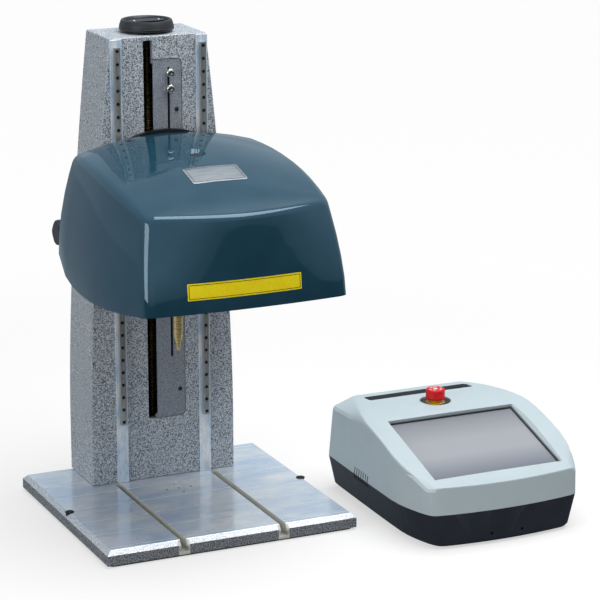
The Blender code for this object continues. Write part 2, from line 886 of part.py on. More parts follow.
def build_drive(turning):
    """Lead screw with its bearings and the handwheel on top of the column."""
    roof_under = column_top - column_roof
    housing_top = roof_under - seat_gap
    housing_bottom = housing_top - bearing_height
    thread_top = housing_bottom - seat_gap
    wheel_bottom = column_top + wheel_gap
    journal_top = wheel_bottom + wheel_bore_depth - seat_gap
    profile = [(0, screw_foot), (screw_journal_radius, screw_foot),
               (screw_journal_radius, screw_foot + screw_journal_length),
               (screw_radius, screw_foot + screw_journal_length), (screw_radius, thread_top),
               (screw_journal_radius, thread_top), (screw_journal_radius, journal_top), (0, journal_top)]
    add_piece("lead_screw", turned(profile, (0, screw_y, 0)), dark_steel, turning)

    journal_hole = screw_journal_radius + run_gap
    ring = [(journal_hole, housing_bottom), (bearing_radius, housing_bottom),
            (bearing_radius, housing_top), (journal_hole, housing_top)]
    add_piece("upper_bearing", turned(ring, (0, screw_y, 0)), zinc)

    back = column_inner_y + seat_gap
    low = (-lower_bearing_width / 2, back, lower_bearing_z)
    high = (lower_bearing_width / 2, back + lower_bearing_depth, lower_bearing_z + lower_bearing_height)
    lower = add_piece("lower_bearing", box(low, high), zinc, smooth=False)
    round_edges(lower, carriage_edge, 1)
    cut(lower, rod((0, screw_y), journal_hole, lower_bearing_z - cut_overrun,
                   lower_bearing_z + lower_bearing_height + cut_overrun, "Z", round_sides))

    dish = wheel_bottom + wheel_height * wheel_profile_shares[-1][1]
    bore_roof = wheel_bottom + wheel_bore_depth
    foot = column_top + seat_gap
    profile = [(0, bore_roof), (journal_hole, bore_roof), (journal_hole, foot), (wheel_collar_radius, foot),
               (wheel_collar_radius, wheel_bottom)]
    profile += [(wheel_radius * wide, wheel_bottom + wheel_height * up) for wide, up in wheel_profile_shares]
    profile.append((0, dish))
    add_piece("handwheel", turned(profile, (0, screw_y, 0), sides=wheel_sides), black_plastic, turning)

    low = (-insert_length / 2, screw_y - insert_width / 2)
    high = (insert_length / 2, screw_y + insert_width / 2)
    shape = rounded_rectangle(low, high, insert_width / 2, 4)
    floor = dish + seat_gap
    add_piece("handwheel_insert", prism(shape, floor, floor + insert_height, "Z"), black_anodised, turning,
              smooth=False)


def carriage_section(centre):
    """Plan of a carriage block that wraps its rail."""
    half = carriage_width / 2
    groove = rail_width / 2 + run_gap
    groove_y = rail_face_y - run_gap
    low_y = rail_foot_y - rail_groove_low
    high_y = rail_foot_y - rail_groove_high
    bead = (groove - rail_groove_depth, (low_y + high_y) / 2)
    right = [(half, carriage_face_y), (half, carriage_back_y), (groove, carriage_back_y), (groove, low_y),
             bead, (groove, high_y), (groove, groove_y)]
    left = [(-x, y) for x, y in reversed(right)]
    return [(centre + x, y) for x, y in right + left]


def back_plate_outline():
    """The head's back plate: straight sides under a shallow arch."""
    half = plate_back_width / 2
    centre_z = plate_back_crown - plate_back_arch_radius
    steps = 2 * small_sides
    arch = []
    for step in range(steps + 1):
        x = half - 2 * half * step / steps
        arch.append((x, centre_z + math.sqrt(plate_back_arch_radius ** 2 - x ** 2)))
    foot = fillet([(-half, plate_back_bottom), (half, plate_back_bottom), (half, plate_back_crown),
                   (-half, plate_back_crown)], [plate_back_corner, plate_back_corner, 0, 0], 3)[:-2]
    return foot + arch


def build_head_carrier(lift):
    """Carriages, back plate, nut bracket and lead nut: what rides the rails."""
    for side, side_name in ((-1, "left"), (1, "right")):
        for level, level_name in ((carriage_low_z, "lower"), (carriage_high_z, "upper")):
            section = carriage_section(side * rail_x)
            block = prism(section, level, level + carriage_length, "Z")
            add_piece("carriage_" + side_name + "_" + level_name, block, dark_steel, lift, smooth=False)

    plate = prism(back_plate_outline(), back_plate_front_y, back_plate_rear_y, "Y")
    add_piece("head_back_plate", plate, black_anodised, lift, smooth=False)

    tongue_left = nut_tongue_x - nut_tongue_width / 2
    tongue_right = nut_tongue_x + nut_tongue_width / 2
    foot_y = back_plate_rear_y + seat_gap
    rear = screw_y + nut_block_back
    front = screw_y - nut_block_back
    outline = [(tongue_left, foot_y), (tongue_right, foot_y), (tongue_right, front), (nut_block_half, front),
               (nut_block_half, rear), (tongue_left, rear)]
    block_top = nut_z + nut_block_height
    bracket = add_piece("nut_bracket", prism(outline, nut_z, block_top, "Z"), machined, lift, smooth=False)
    middle_z = nut_z + nut_block_height / 2
    foot_low = (nut_tongue_x - nut_foot_width / 2, foot_y, middle_z - nut_foot_height / 2)
    foot_high = (nut_tongue_x + nut_foot_width / 2, foot_y + nut_foot_thickness,
                 middle_z + nut_foot_height / 2)
    join(bracket, box(foot_low, foot_high))
    cut(bracket, rod((0, screw_y), nut_radius + seat_gap, nut_z - cut_overrun, block_top + cut_overrun,
                     "Z", round_sides))

    bore = screw_radius + run_gap
    flange_top = nut_z - seat_gap
    profile = [(bore, flange_top - nut_flange_height), (nut_flange_radius, flange_top - nut_flange_height),
               (nut_flange_radius, flange_top), (nut_radius, flange_top),
               (nut_radius, flange_top + nut_length - nut_flange_height),
               (bore, flange_top + nut_length - nut_flange_height)]
    add_piece("lead_nut", turned(profile, (0, screw_y, 0)), bronze, lift)


def lobed_circle(centre, radius):
    """A hand knob's outline with shallow grip lobes."""
    sides = lock_knob_lobes * lock_knob_steps_per_lobe
    points = []
    for step in range(sides):
        turn = 2 * math.pi * step / sides
        dip = (1 - math.cos(lock_knob_lobes * turn)) / 2
        reach = radius * (1 - lock_knob_scallop_share * dip)
        points.append((centre[0] + reach * math.cos(turn), centre[1] + reach * math.sin(turn)))
    return points


def build_lock(lift, lock_turn):
    """Clamp block beside the left rail, and the knob on its stud that locks the height."""
    block_y = back_plate_rear_y + seat_gap
    low = (lock_block_x - lock_block_width / 2, block_y, lock_z - lock_block_height / 2)
    high = (lock_block_x + lock_block_width / 2, block_y + lock_block_depth, lock_z + lock_block_height / 2)
    block = add_piece("lock_block", box(low, high), zinc, lift, smooth=False)
    round_edges(block, carriage_edge, 1)
    stud_y = block_y + lock_block_depth / 2
    stud_end = lock_block_x - lock_block_width / 2
    blind = lock_block_width * lock_bore_share
    cut(block, rod((stud_y, lock_z), lock_stud_radius + run_gap, stud_end - cut_overrun,
                   stud_end + blind, "X"))

    knob_inner = lock_knob_x + lock_knob_length
    rings = []
    for along_share, size_share in lock_knob_ring_shares:
        level = lock_knob_x + lock_knob_length * along_share
        shape = lobed_circle((stud_y, lock_z), lock_knob_radius * size_share)
        rings.append([on_plane(point, level, "X") for point in shape])
    knob = add_piece("lock_knob", loft(rings), black_plastic, lock_turn)
    neck_end = knob_inner + lock_knob_neck
    join(knob, rod((stud_y, lock_z), lock_neck_radius, knob_inner - seat_gap, neck_end, "X"))
    stud = rod((stud_y, lock_z), lock_stud_radius, neck_end + seat_gap, stud_end + blind - seat_gap, "X")
    add_piece("lock_stud", stud, zinc, lock_turn)


# Head cover
def cover_level(share):
    """Plan sizes of the cover's wall at a share of the way from rim to ridge."""
    lean = share ** wall_lean_share
    forward = share ** front_lean_share
    return {
        "corner_x": between(rim_corner_x, ridge_corner_x, lean),
        "widest_x": between(rim_widest_x, ridge_widest_x, lean),
        "rear_x": between(rim_rear_x, ridge_rear_x, lean),
        "corner_y": between(rim_corner_y, ridge_corner_y, forward),
        "front_y": between(rim_front_y, ridge_front_y, forward),
        "widest_y": between(rim_widest_y, ridge_widest_y, forward),
    }


def cover_side_x(y, plan):
    """Half width of the cover at y: two parabolas that meet at the widest place."""
    if y < plan["widest_y"]:
        away = (y - plan["widest_y"]) / (plan["corner_y"] - plan["widest_y"])
        return plan["widest_x"] - (plan["widest_x"] - plan["corner_x"]) * away ** 2
    away = (y - plan["widest_y"]) / (cover_rear_y - plan["widest_y"])
    return plan["widest_x"] - (plan["widest_x"] - plan["rear_x"]) * away ** 2


def cover_front_y(x, plan):
    """How far forward the bowed front reaches at x."""
    away = x / plan["corner_x"]
    return plan["front_y"] + (plan["corner_y"] - plan["front_y"]) * away ** 2


def rim_height(y):
    """Height of the side walls' lower edge: a slight dip, then a rise at the back."""
    along = clamp_share((y - rim_corner_y) / rim_dip_length)
    rise = max(0.0, y) / cover_rear_y
    return rim_z - rim_dip * math.sin(math.pi * along) + rim_rise * rise ** 2


def ridge_height(y):
    """Height of the top ridge along the sides: a rising bow."""
    along = clamp_share((y - ridge_corner_y) / (cover_rear_y - ridge_corner_y))
    return between(ridge_front_z, ridge_rear_z, along) + ridge_bow * 4 * along * (1 - along)


def crown(x, y):
    """Height of the domed top at a place in plan."""
    plan = cover_level(1.0)
    half = cover_side_x(max(y, ridge_corner_y), plan)
    along = clamp_share((y - ridge_front_y) / (cover_rear_y - ridge_front_y))
    dome = crown_height * math.sin(along * math.pi / 2)
    return ridge_height(y) + dome * (1 - (x / half) ** 2)


def bezier(start, middle, end, share):
    """A point on a round corner."""
    return start * (1 - share) ** 2 + middle * (2 * share * (1 - share)) + end * share ** 2


def plan_stations(plan):
    """Half of the cover's plan, from the back of its side round the corner to the front's middle."""
    side = []
    corner_along = cover_corner_round / (cover_rear_y - plan["corner_y"])
    for step in range(side_stations + 1):
        share = (1 - corner_along) * step / side_stations
        y = between(cover_rear_y, plan["corner_y"], share)
        side.append(Vector((cover_side_x(y, plan), y)))
    front = []
    front_start = 1 - cover_corner_round / plan["corner_x"]
    for step in range(front_stations + 1):
        x = plan["corner_x"] * front_start * (1 - step / front_stations)
        front.append(Vector((x, cover_front_y(x, plan))))
    corner = Vector((plan["corner_x"], plan["corner_y"]))
    turn = [bezier(side[-1], corner, front[0], step / corner_steps) for step in range(1, corner_steps)]
    return side + turn + front


def wall_point(station, share):
    """A point of the cover's wall."""
    x, y = plan_stations(cover_level(share))[station]
    return Vector((x, y, between(rim_height(y), ridge_height(y), share)))


def cover_rows():
    """Rows of points from the rim over the ridge to the spine, for the cover's right half."""
    count = len(plan_stations(cover_level(0.0)))
    top_plan = plan_stations(cover_level(1.0))
    rows = []
    for station in range(count):
        x, y = top_plan[station]
        ridge = Vector((x, y, crown(x, y)))
        along = min(1.0, station / side_stations)
        spine_y = between(cover_rear_y, cover_spine_front_y, along)
        spine = Vector((0, spine_y))
        inward = spine - Vector((x, y))
        start = wall_point(station, 1.0 - cover_ridge_round / (ridge_rear_z - rim_z))
        reach = min(1.0, cover_ridge_round / inward.length)
        flat = Vector((x, y)) + inward * reach
        end = Vector((flat.x, flat.y, crown(flat.x, flat.y)))
        row = [wall_point(station, share) for share in wall_level_shares]
        row += [bezier(start, ridge, end, step / ridge_steps) for step in range(ridge_steps + 1)]
        for share in crown_inner_shares:
            place = flat + (spine - flat) * share
            row.append(Vector((place.x, place.y, crown(place.x, place.y))))
        rows.append(row)
    return rows


def cover_skin():
    """The cover's outer skin, open below and behind."""
    solid = bmesh.new()
    right = cover_rows()
    for side in (1, -1):
        rows = [[solid.verts.new((side * point.x, point.y, point.z)) for point in row] for row in right]
        for first, second in zip(rows, rows[1:]):
            for place in range(len(first) - 1):
                corners = (first[place], second[place], second[place + 1], first[place + 1])
                solid.faces.new(corners if side > 0 else corners[::-1])
    bmesh.ops.remove_doubles(solid, verts=solid.verts, dist=weld_distance)
    return solid


def follow_crown(solid, floor, surface):
    """Bend a flat-rimmed shape so that its rim follows the domed top and its floor stays level."""
    for corner in solid.verts:
        share = clamp_share((corner.co.z - floor) / (surface - floor))
        corner.co.z += share * (crown(corner.co.x, corner.co.y) - surface)
    return solid


def build_cover(lift):
    """Moulded head cover with the recess for its screw."""
    cover = add_piece("head_cover", cover_skin(), cover_green, lift)
    shell = cover.modifiers.new("Wall", "SOLIDIFY")
    shell.thickness = cover_wall
    shell.offset = -1
    shell.use_even_offset = True
    surface = crown(dimple_x, dimple_y)
    floor = surface - dimple_depth
    cup = [(0, floor - dimple_wall), (dimple_floor_radius + dimple_wall, floor - dimple_wall),
           (dimple_radius + dimple_wall, surface - cover_wall / 2), (0, surface - cover_wall / 2)]
    join(cover, follow_crown(turned(cup, (dimple_x, dimple_y, 0)), floor, surface))
    mouth = surface + dimple_depth
    flare = dimple_radius + (dimple_radius - dimple_floor_radius)
    recess = [(0, floor), (dimple_floor_radius, floor), (dimple_radius, surface), (flare, mouth), (0, mouth)]
    cut(cover, follow_crown(turned(recess, (dimple_x, dimple_y, 0)), floor, surface))
    cut(cover, rod((dimple_x, dimple_y), dimple_bore, floor - dimple_wall - cut_overrun,
                   floor + cut_overrun, "Z"))

    head_bottom = floor + seat_gap
    shank_end = floor - dimple_wall - seat_gap
    profile = [(0, shank_end), (cover_screw_shank, shank_end), (cover_screw_shank, head_bottom)]
    profile += [(cover_screw_radius * wide, head_bottom + cover_screw_height * up)
                for wide, up in cover_screw_profile_shares]
    profile.append((0, head_bottom + cover_screw_height))
    screw = turned(profile, (dimple_x, dimple_y, 0), sides=middle_sides)
    add_piece("cover_screw", screw, black_plastic, lift)
    return floor - dimple_wall


def build_head_frame(lift, cover_seat):
    """Ring frame bolted to the back plate, with the arch and pillar that hold the cover."""
    half = frame_half_width
    outline = rounded_rectangle((-half, frame_front_y), (half, frame_rear_y), frame_corner)
    frame = add_piece("head_frame", prism(outline, frame_bottom, frame_top, "Z"), machined, lift, smooth=False)
    inner = half - frame_wall
    window = rounded_rectangle((-inner, frame_front_y + frame_wall), (inner, frame_rear_y - frame_wall),
                               frame_corner - frame_wall / 2)
    cut(frame, prism(window, frame_bottom - cut_overrun, frame_top + cut_overrun, "Z"))
    portal = [(-half, frame_top - cut_overrun), (-inner, frame_top - cut_overrun),
              (-inner, arch_top - arch_bar), (inner, arch_top - arch_bar),
              (inner, frame_top - cut_overrun), (half, frame_top - cut_overrun),
              (half, arch_top), (-half, arch_top)]
    join(frame, prism(portal, dimple_y - arch_width / 2, dimple_y + arch_width / 2, "Y"))
    pillar_top = cover_seat - seat_gap - seat_gap
    join(frame, rod((dimple_x, dimple_y), pillar_radius, arch_top - arch_bar / 2, pillar_top, "Z"))
    front_hole = frame_front_y + frame_wall / 2
    for x, z, radius in ((-guide_y_x, guide_y_z, guide_y_radius), (guide_y_x, guide_y_z, guide_y_radius),
                         (0, drive_y_z, drive_radius)):
        cut(frame, rod((x, z), radius + run_gap, front_hole, frame_front_y + frame_wall + cut_overrun, "Y"))
        if radius == guide_y_radius:
            cut(frame, rod((x, z), radius + run_gap, frame_rear_y - frame_wall - cut_overrun,
                           frame_rear_y - frame_wall / 2, "Y"))


def build_stage(lift, slide_y, slide_x, turn_y, turn_x, strike):
    """Guide rods, drive screws, motors, bridge and saddle that place the stylus."""
    start = frame_front_y + frame_wall / 2 + seat_gap
    end = frame_rear_y - frame_wall / 2 - seat_gap
    for side, name in ((-1, "guide_rod_left"), (1, "guide_rod_right")):
        add_piece(name, rod((side * guide_y_x, guide_y_z), guide_y_radius, start, end, "Y"), rail_steel, lift)
    motor_back = frame_rear_y - frame_wall - seat_gap
    motor_front = motor_back - motor_y_length
    centre = (0, (motor_back + motor_front) / 2, drive_y_z)
    motor = add_piece("stage_motor_y", centred_box(centre, (motor_y_width, motor_y_length, motor_y_width)),
                      black_anodised, lift, smooth=False)
    round_edges(motor, motor_edge, 1)
    add_piece("stage_screw_y", rod((0, drive_y_z), drive_radius, start, motor_front - seat_gap, "Y"),
              dark_steel, turn_y)

    low_y = bridge_y - bridge_half_depth
    high_y = bridge_y + bridge_half_depth
    bridge_low = (-bridge_half_width, low_y, bridge_bottom)
    bridge_high = (bridge_half_width, high_y, bridge_top)
    bridge = add_piece("stage_bridge", box(bridge_low, bridge_high), machined, slide_y, smooth=False)
    for side in (-1, 1):
        inner = bridge_window_half_width
        outer = bridge_half_width
        ends = sorted((side * inner, side * outer))
        join(bridge, box((ends[0], low_y, bridge_end_bottom), (ends[1], high_y, bridge_bottom + cut_overrun)))
    nut_y = high_y - drive_nut_depth
    join(bridge, box((-drive_nut_width / 2, nut_y, bridge_top - cut_overrun),
                     (drive_nut_width / 2, high_y, drive_nut_top)))
    window = rectangle((-bridge_window_half_width, bridge_y - bridge_window_half_depth),
                       (bridge_window_half_width, bridge_y + bridge_window_half_depth))
    cut(bridge, prism(window, bridge_bottom - cut_overrun, bridge_top + cut_overrun, "Z"))
    for side in (-1, 1):
        cut(bridge, rod((side * guide_y_x, guide_y_z), guide_y_radius + run_gap, low_y - cut_overrun,
                        high_y + cut_overrun, "Y"))
    cut(bridge, rod((0, drive_y_z), drive_radius + run_gap, nut_y - cut_overrun, high_y + cut_overrun, "Y"))
    socket = bridge_window_half_width + frame_wall / 2
    places = ((bridge_y - guide_x_offset, guide_x_radius), (bridge_y + guide_x_offset, guide_x_radius),
              (bridge_y, drive_x_radius))
    for y, radius in places:
        left_end = -bridge_half_width - cut_overrun if radius == drive_x_radius else -socket
        cut(bridge, rod((y, guide_x_z), radius + run_gap, left_end, socket, "X"))
    reach = socket - seat_gap
    for y, name in ((bridge_y - guide_x_offset, "cross_rod_front"), (bridge_y + guide_x_offset, "cross_rod_rear")):
        add_piece(name, rod((y, guide_x_z), guide_x_radius, -reach, reach, "X"), rail_steel, slide_y)
    screw_left = seat_gap - bridge_half_width
    add_piece("stage_screw_x", rod((bridge_y, guide_x_z), drive_x_radius, screw_left, reach, "X"),
              dark_steel, turn_x)
    motor_right = -bridge_half_width - seat_gap
    centre = (motor_right - motor_x_length / 2, bridge_y, guide_x_z)
    motor = add_piece("stage_motor_x", centred_box(centre, (motor_x_length, motor_x_width, motor_x_width)),
                      black_anodised, slide_y, smooth=False)
    round_edges(motor, motor_edge, 1)

    half_w = saddle_width / 2
    rear = bridge_y + saddle_depth / 2
    front = bridge_y - saddle_depth / 2
    nose = stylus_y - saddle_nose
    side_view = [(rear, saddle_bottom), (rear, saddle_top), (front, saddle_top), (front, saddle_arm_top),
                 (nose, saddle_arm_top), (nose, saddle_bottom)]
    saddle = add_piece("stage_saddle", prism(side_view, stylus_x - half_w, stylus_x + half_w, "X"),
                       machined, slide_x, smooth=False)
    for y, radius in places:
        cut(saddle, rod((y, guide_x_z), radius + run_gap, stylus_x - half_w - cut_overrun,
                        stylus_x + half_w + cut_overrun, "X"))
    cut(saddle, rod((stylus_x, stylus_y), stylus_radius + seat_gap, saddle_bottom - cut_overrun,
                    saddle_arm_top + cut_overrun, "Z", round_sides))

    bore = pin_radius + run_gap
    profile = [(bore, stylus_nose_z), (stylus_nose_radius, stylus_nose_z),
               (stylus_cone_radius, stylus_cone_z), (stylus_radius, stylus_shoulder_z),
               (stylus_radius, saddle_bottom - collar_height - seat_gap),
               (collar_radius, saddle_bottom - collar_height - seat_gap),
               (collar_radius, saddle_bottom - seat_gap), (stylus_radius, saddle_bottom - seat_gap),
               (stylus_radius, stylus_top_z), (bore, stylus_top_z)]
    body = turned(profile, (stylus_x, stylus_y, 0), sides=middle_sides)
    add_piece("stylus_body", body, brass, slide_x)
    pin_top = stylus_nose_z + pin_head_length
    profile = [(0, stylus_tip_z), (pin_tip_radius, stylus_tip_z), (pin_radius, stylus_tip_z + pin_tip_length),
               (pin_radius, pin_top), (0, pin_top)]
    add_piece("stylus_pin", turned(profile, (stylus_x, stylus_y, 0), sides=small_sides), rail_steel, strike)


def build_limit(slide_limit):
    """Height limit: a block behind the cover plate, held by two bright screws in its slot."""
    lower_z = limit_upper_z - limit_screw_pitch
    middle_z = (limit_upper_z + lower_z) / 2
    front = column_front_y + plate_recess + plate_thickness + seat_gap
    low = (plate_slot_x - limit_block_width / 2, front, middle_z - limit_block_height / 2)
    high = (plate_slot_x + limit_block_width / 2, front + limit_block_depth, middle_z + limit_block_height / 2)
    block = add_piece("limit_block", box(low, high), black_plastic, slide_limit, smooth=False)
    bore = limit_shank_radius + seat_gap
    face = column_front_y + plate_recess - seat_gap
    for level, name in ((limit_upper_z, "limit_screw_upper"), (lower_z, "limit_screw_lower")):
        cut(block, rod((plate_slot_x, level), bore, front - cut_overrun, front + limit_block_depth / 2, "Y",
                       rail_hole_sides))
        collar = face - limit_collar_height
        profile = [(0, front + limit_block_depth / 2 - seat_gap),
                   (limit_shank_radius, front + limit_block_depth / 2 - seat_gap), (limit_shank_radius, face),
                   (limit_collar_radius, face), (limit_collar_radius, collar)]
        profile += [(limit_head_radius * wide, collar - limit_head_height * up) for wide, up in limit_head_shares]
        profile.append((0, collar - limit_head_height))
        screw = turned(profile, (plate_slot_x, 0, level), "Y", middle_sides)
        add_piece(name, screw, bright_nickel, slide_limit)


# Console
def console_side_x(y):
    """Half width of the console at the joint of its shells."""
    if y < console_widest_y:
        along = (console_widest_y - y) / console_taper_length
        return console_widest_half - console_taper * along ** console_taper_power_share
    along = (y - console_widest_y) / (console_rear_y - console_widest_y)
    return between(console_widest_half, console_rear_half, along ** console_rear_power_share)


def console_front_at(x):
    """How far forward the bowed front reaches at x from the console's middle."""
    return console_front_y + console_front_bow * (x / console_front_half) ** 2


def top_shape_at(y):
    """Shares at y of the top's rise, its crease, the cheek wall's upper edge and the wall's lean."""
    along = clamp_share((console_rear_y - y) / console_depth)
    for start, end in zip(top_shape_shares, top_shape_shares[1:]):
        if along <= end[0]:
            share = (along - start[0]) / (end[0] - start[0])
            return [between(low, high, share) for low, high in zip(start[1:], end[1:])]
    return list(top_shape_shares[-1][1:])


def top_at(y):
    """Height of the console's arched top at y, along its middle."""
    return console_joint_z + top_rise * top_shape_at(y)[0]


def crease_at(y):
    """Half width at which the top meets the cheek at y."""
    return console_widest_half * top_shape_at(y)[1]


def cheek_top_at(y):
    """Height of the cheek wall's upper edge at y."""
    return console_joint_z + top_rise * top_shape_at(y)[2]


def on_top(x, y, wall):
    """The point of the crowned top at a place, or of the wall's inner face under it."""
    fall = top_crown * (abs(x - console_x) / console_widest_half) ** top_crown_power_share
    return Vector((x, y, top_at(y) - fall - wall))


def side_stations_y():
    """Places along the console's sides, one at each bend of the arched top."""
    chosen = top_shape_shares[1:top_side_stations + 1]
    return [console_rear_y - console_depth * station[0] for station in chosen]


def console_plan(side, front, rear, rise=0.0):
    """Plan of the console at a rise over the joint, drawn in at its sides, front and rear."""
    rear_y = console_rear_y - rear
    rear_lean = rise * top_shape_shares[0][-1]
    right = [(0.0, rear_y - rear_lean), (crease_at(rear_y) - side, rear_y - rear_lean),
             (console_rear_half - side - rear_lean, rear_y - rear_lean)]
    for y in side_stations_y():
        right.append((console_side_x(y) - side - rise * top_shape_at(y)[-1], y))
    radii = [0.0] * len(right)
    radii[2] = max(console_wall, console_rear_round - rear)
    for share in console_front_stations_shares:
        x = (console_front_half - side) * share
        right.append((x, console_front_at(x) + front + rise * lean_front_share))
        radii.append(0.0)
    radii[top_side_stations + 3] = console_front_round
    left = [(-x, y) for x, y in reversed(right[1:-1])]
    outline = fillet(right + left, radii + list(reversed(radii[1:-1])), console_corner_steps)
    return [Vector((console_x + x, y)) for x, y in outline]


def console_ring(level, side, front, rear):
    """The console's plan as a ring at one height."""
    return [(point.x, point.y, level) for point in console_plan(side, front, rear)]


def eased(before, corner, after, reach, steps):
    """Points of a small round over a corner, no longer than the legs beside it allow."""
    ends = []
    for leg in (before - corner, after - corner):
        ends.append(corner + leg * min(reach / leg.length, longest_ease_share))
    return [bezier(ends[0], corner, ends[1], step / steps) for step in range(steps + 1)]


def shell_row(place, wall, low):
    """Points of the upper shell from its rim, up the cheek and over the crease to the top's spine."""
    foot = console_plan(wall, wall, wall)[place]
    head = console_plan(wall, wall, wall, cheek_top_at(foot.y) - console_joint_z)[place]
    offset = head.x - console_x
    crease = min(abs(offset), crease_at(head.y) - wall)
    ridge = on_top(console_x + math.copysign(crease, offset), head.y, wall)
    brow_z = cheek_top_at(head.y) - wall
    if abs(offset) - crease < run_gap:
        brow_z = ridge.z - crease_fall
    brow = Vector((head.x, head.y, brow_z))
    spine_rear = side_stations_y()[0]
    spine_front = console_rear_y - console_depth * top_shape_shares[top_spine_station][0]
    spine = on_top(console_x, min(spine_rear, max(spine_front, head.y)), wall)
    across = between(spine, ridge, top_crest_share)
    crest = on_top(across.x, across.y, wall)
    start = Vector((foot.x, foot.y, low))
    if wall:
        return [start, brow, ridge, spine]
    row = [start]
    row += eased(start, brow, ridge, cheek_edge_round, 1)
    row += eased(brow, ridge, crest, top_crease_round, top_crease_steps)
    return row + [crest, spine]


def shell_form(wall, low):
    """The upper shell's closed form, drawn in by a wall."""
    solid = bmesh.new()
    count = len(console_plan(wall, wall, wall))
    rows = [[solid.verts.new(point) for point in shell_row(place, wall, low)] for place in range(count)]
    for place in range(count):
        first = rows[place - 1]
        second = rows[place]
        for step in range(len(first) - 1):
            solid.faces.new((first[step], second[step], second[step + 1], first[step + 1]))
    solid.faces.new([row[0] for row in rows])
    bmesh.ops.remove_doubles(solid, verts=solid.verts, dist=weld_distance)
    bmesh.ops.triangulate(solid, faces=solid.faces)
    return solid


def on_screen(solid):
    """Tip a bmesh made flat about the origin onto the screen's sloping plane."""
    slope = math.atan2(screen_rear_z - screen_front_z, screen_rear_y - screen_front_y)
    middle = Vector((console_x, (screen_front_y + screen_rear_y) / 2, (screen_front_z + screen_rear_z) / 2))
    for corner in solid.verts:
        x, y, z = corner.co
        along = y * math.cos(slope) - z * math.sin(slope)
        up = y * math.sin(slope) + z * math.cos(slope)
        corner.co = middle + Vector((x, along, up))
    return solid


def screen_well(margin, floor):
    """The screen's recess down to a floor, its sides flared above the screen's plane."""
    half_y = math.hypot(screen_rear_y - screen_front_y, screen_rear_z - screen_front_z) / 2 + margin
    narrow = screen_half_width + margin
    wide = narrow + screen_well_clearance * screen_flare_share
    outline = [(-narrow, floor), (narrow, floor), (narrow, 0), (wide, screen_well_clearance),
               (-wide, screen_well_clearance), (-narrow, 0)]
    return on_screen(prism(outline, -half_y, half_y, "Y"))


def screen_box(margin, low, high):
    """A box over the screen's area, widened by a margin, between two depths."""
    half_x = screen_half_width + margin
    half_y = math.hypot(screen_rear_y - screen_front_y, screen_rear_z - screen_front_z) / 2 + margin
    return on_screen(box((-half_x, -half_y, low), (half_x, half_y, high)))


def grip_box(margin):
    """The grip slot's space, widened by a margin."""
    top = top_at(grip_y)
    low = (console_x - grip_half - margin, grip_y - grip_width / 2 - margin)
    high = (console_x + grip_half + margin, grip_y + grip_width / 2 + margin)
    outline = rounded_rectangle(low, high, grip_round + margin)
    return prism(outline, top - grip_depth - margin, top + grip_depth, "Z")


def vent_cutter(side):
    """A row of slanted slots through a side wall."""
    slots = bmesh.new()
    half = vent_width / 2
    wall_x = console_side_x(vent_first_y)
    ends = sorted(console_x + side * (wall_x + reach) for reach in (-vent_pitch - console_wall, vent_pitch))
    for place in range(vent_count):
        y = vent_first_y - place * vent_pitch
        outline = [(y - half, vent_low_z), (y + half, vent_low_z), (y + half - vent_slant, vent_high_z),
                   (y - half - vent_slant, vent_high_z)]
        add_all(slots, prism(outline, ends[0], ends[1], "X"))
    return slots


def build_tub():
    """Lower shell with its vents, front notches and feet."""
    foot_z = tub_floor_z + tub_foot_round
    half_round = tub_foot_round / 2
    body = loft([
        console_ring(tub_floor_z, tub_side_inset + half_round, tub_front_inset + half_round, half_round),
        console_ring(foot_z, tub_side_inset - half_round, tub_front_inset - half_round / 2, 0),
        console_ring(console_joint_z, 0, 0, 0),
    ])
    tub = add_piece("console_tub", body, tub_slate, origin=(console_x, console_front_y / 2, console_joint_z))
    wall = console_wall
    cut(tub, loft([
        console_ring(tub_floor_z + tub_floor, tub_side_inset + wall, tub_front_inset + wall, wall),
        console_ring(console_joint_z + cut_overrun, wall, wall, wall),
    ]))
    for side in (-1, 1):
        cut(tub, vent_cutter(side))
        notch = (console_x + side * notch_offset, console_front_y, notch_z)
        cut(tub, centred_box(notch, (notch_size, notch_depth, notch_size)))
        for y, row in ((foot_front_y, "front"), (foot_rear_y, "rear")):
            x = console_x + side * (console_front_half - foot_inset)
            name = "console_foot_" + row + ("_left" if side < 0 else "_right")
            add_piece(name, rod((x, y), foot_radius, 0, tub_floor_z - seat_gap, "Z"), rubber, origin=(x, y, 0))
    entry_x = console_x + entry_offset_x
    inside = console_rear_y - wall - cut_overrun
    outside = console_rear_y + cut_overrun
    hole = (entry_body[0] / 2 + seat_gap, entry_body[1] / 2 + seat_gap)
    outline = rectangle((entry_x - hole[0], port_z - hole[1]), (entry_x + hole[0], port_z + hole[1]))
    cut(tub, prism(outline, inside, outside, "Y"))
    cut(tub, rod((console_x + socket_offset_x, port_z), socket_radius + seat_gap, inside, outside, "Y",
                 round_sides))
    return tub


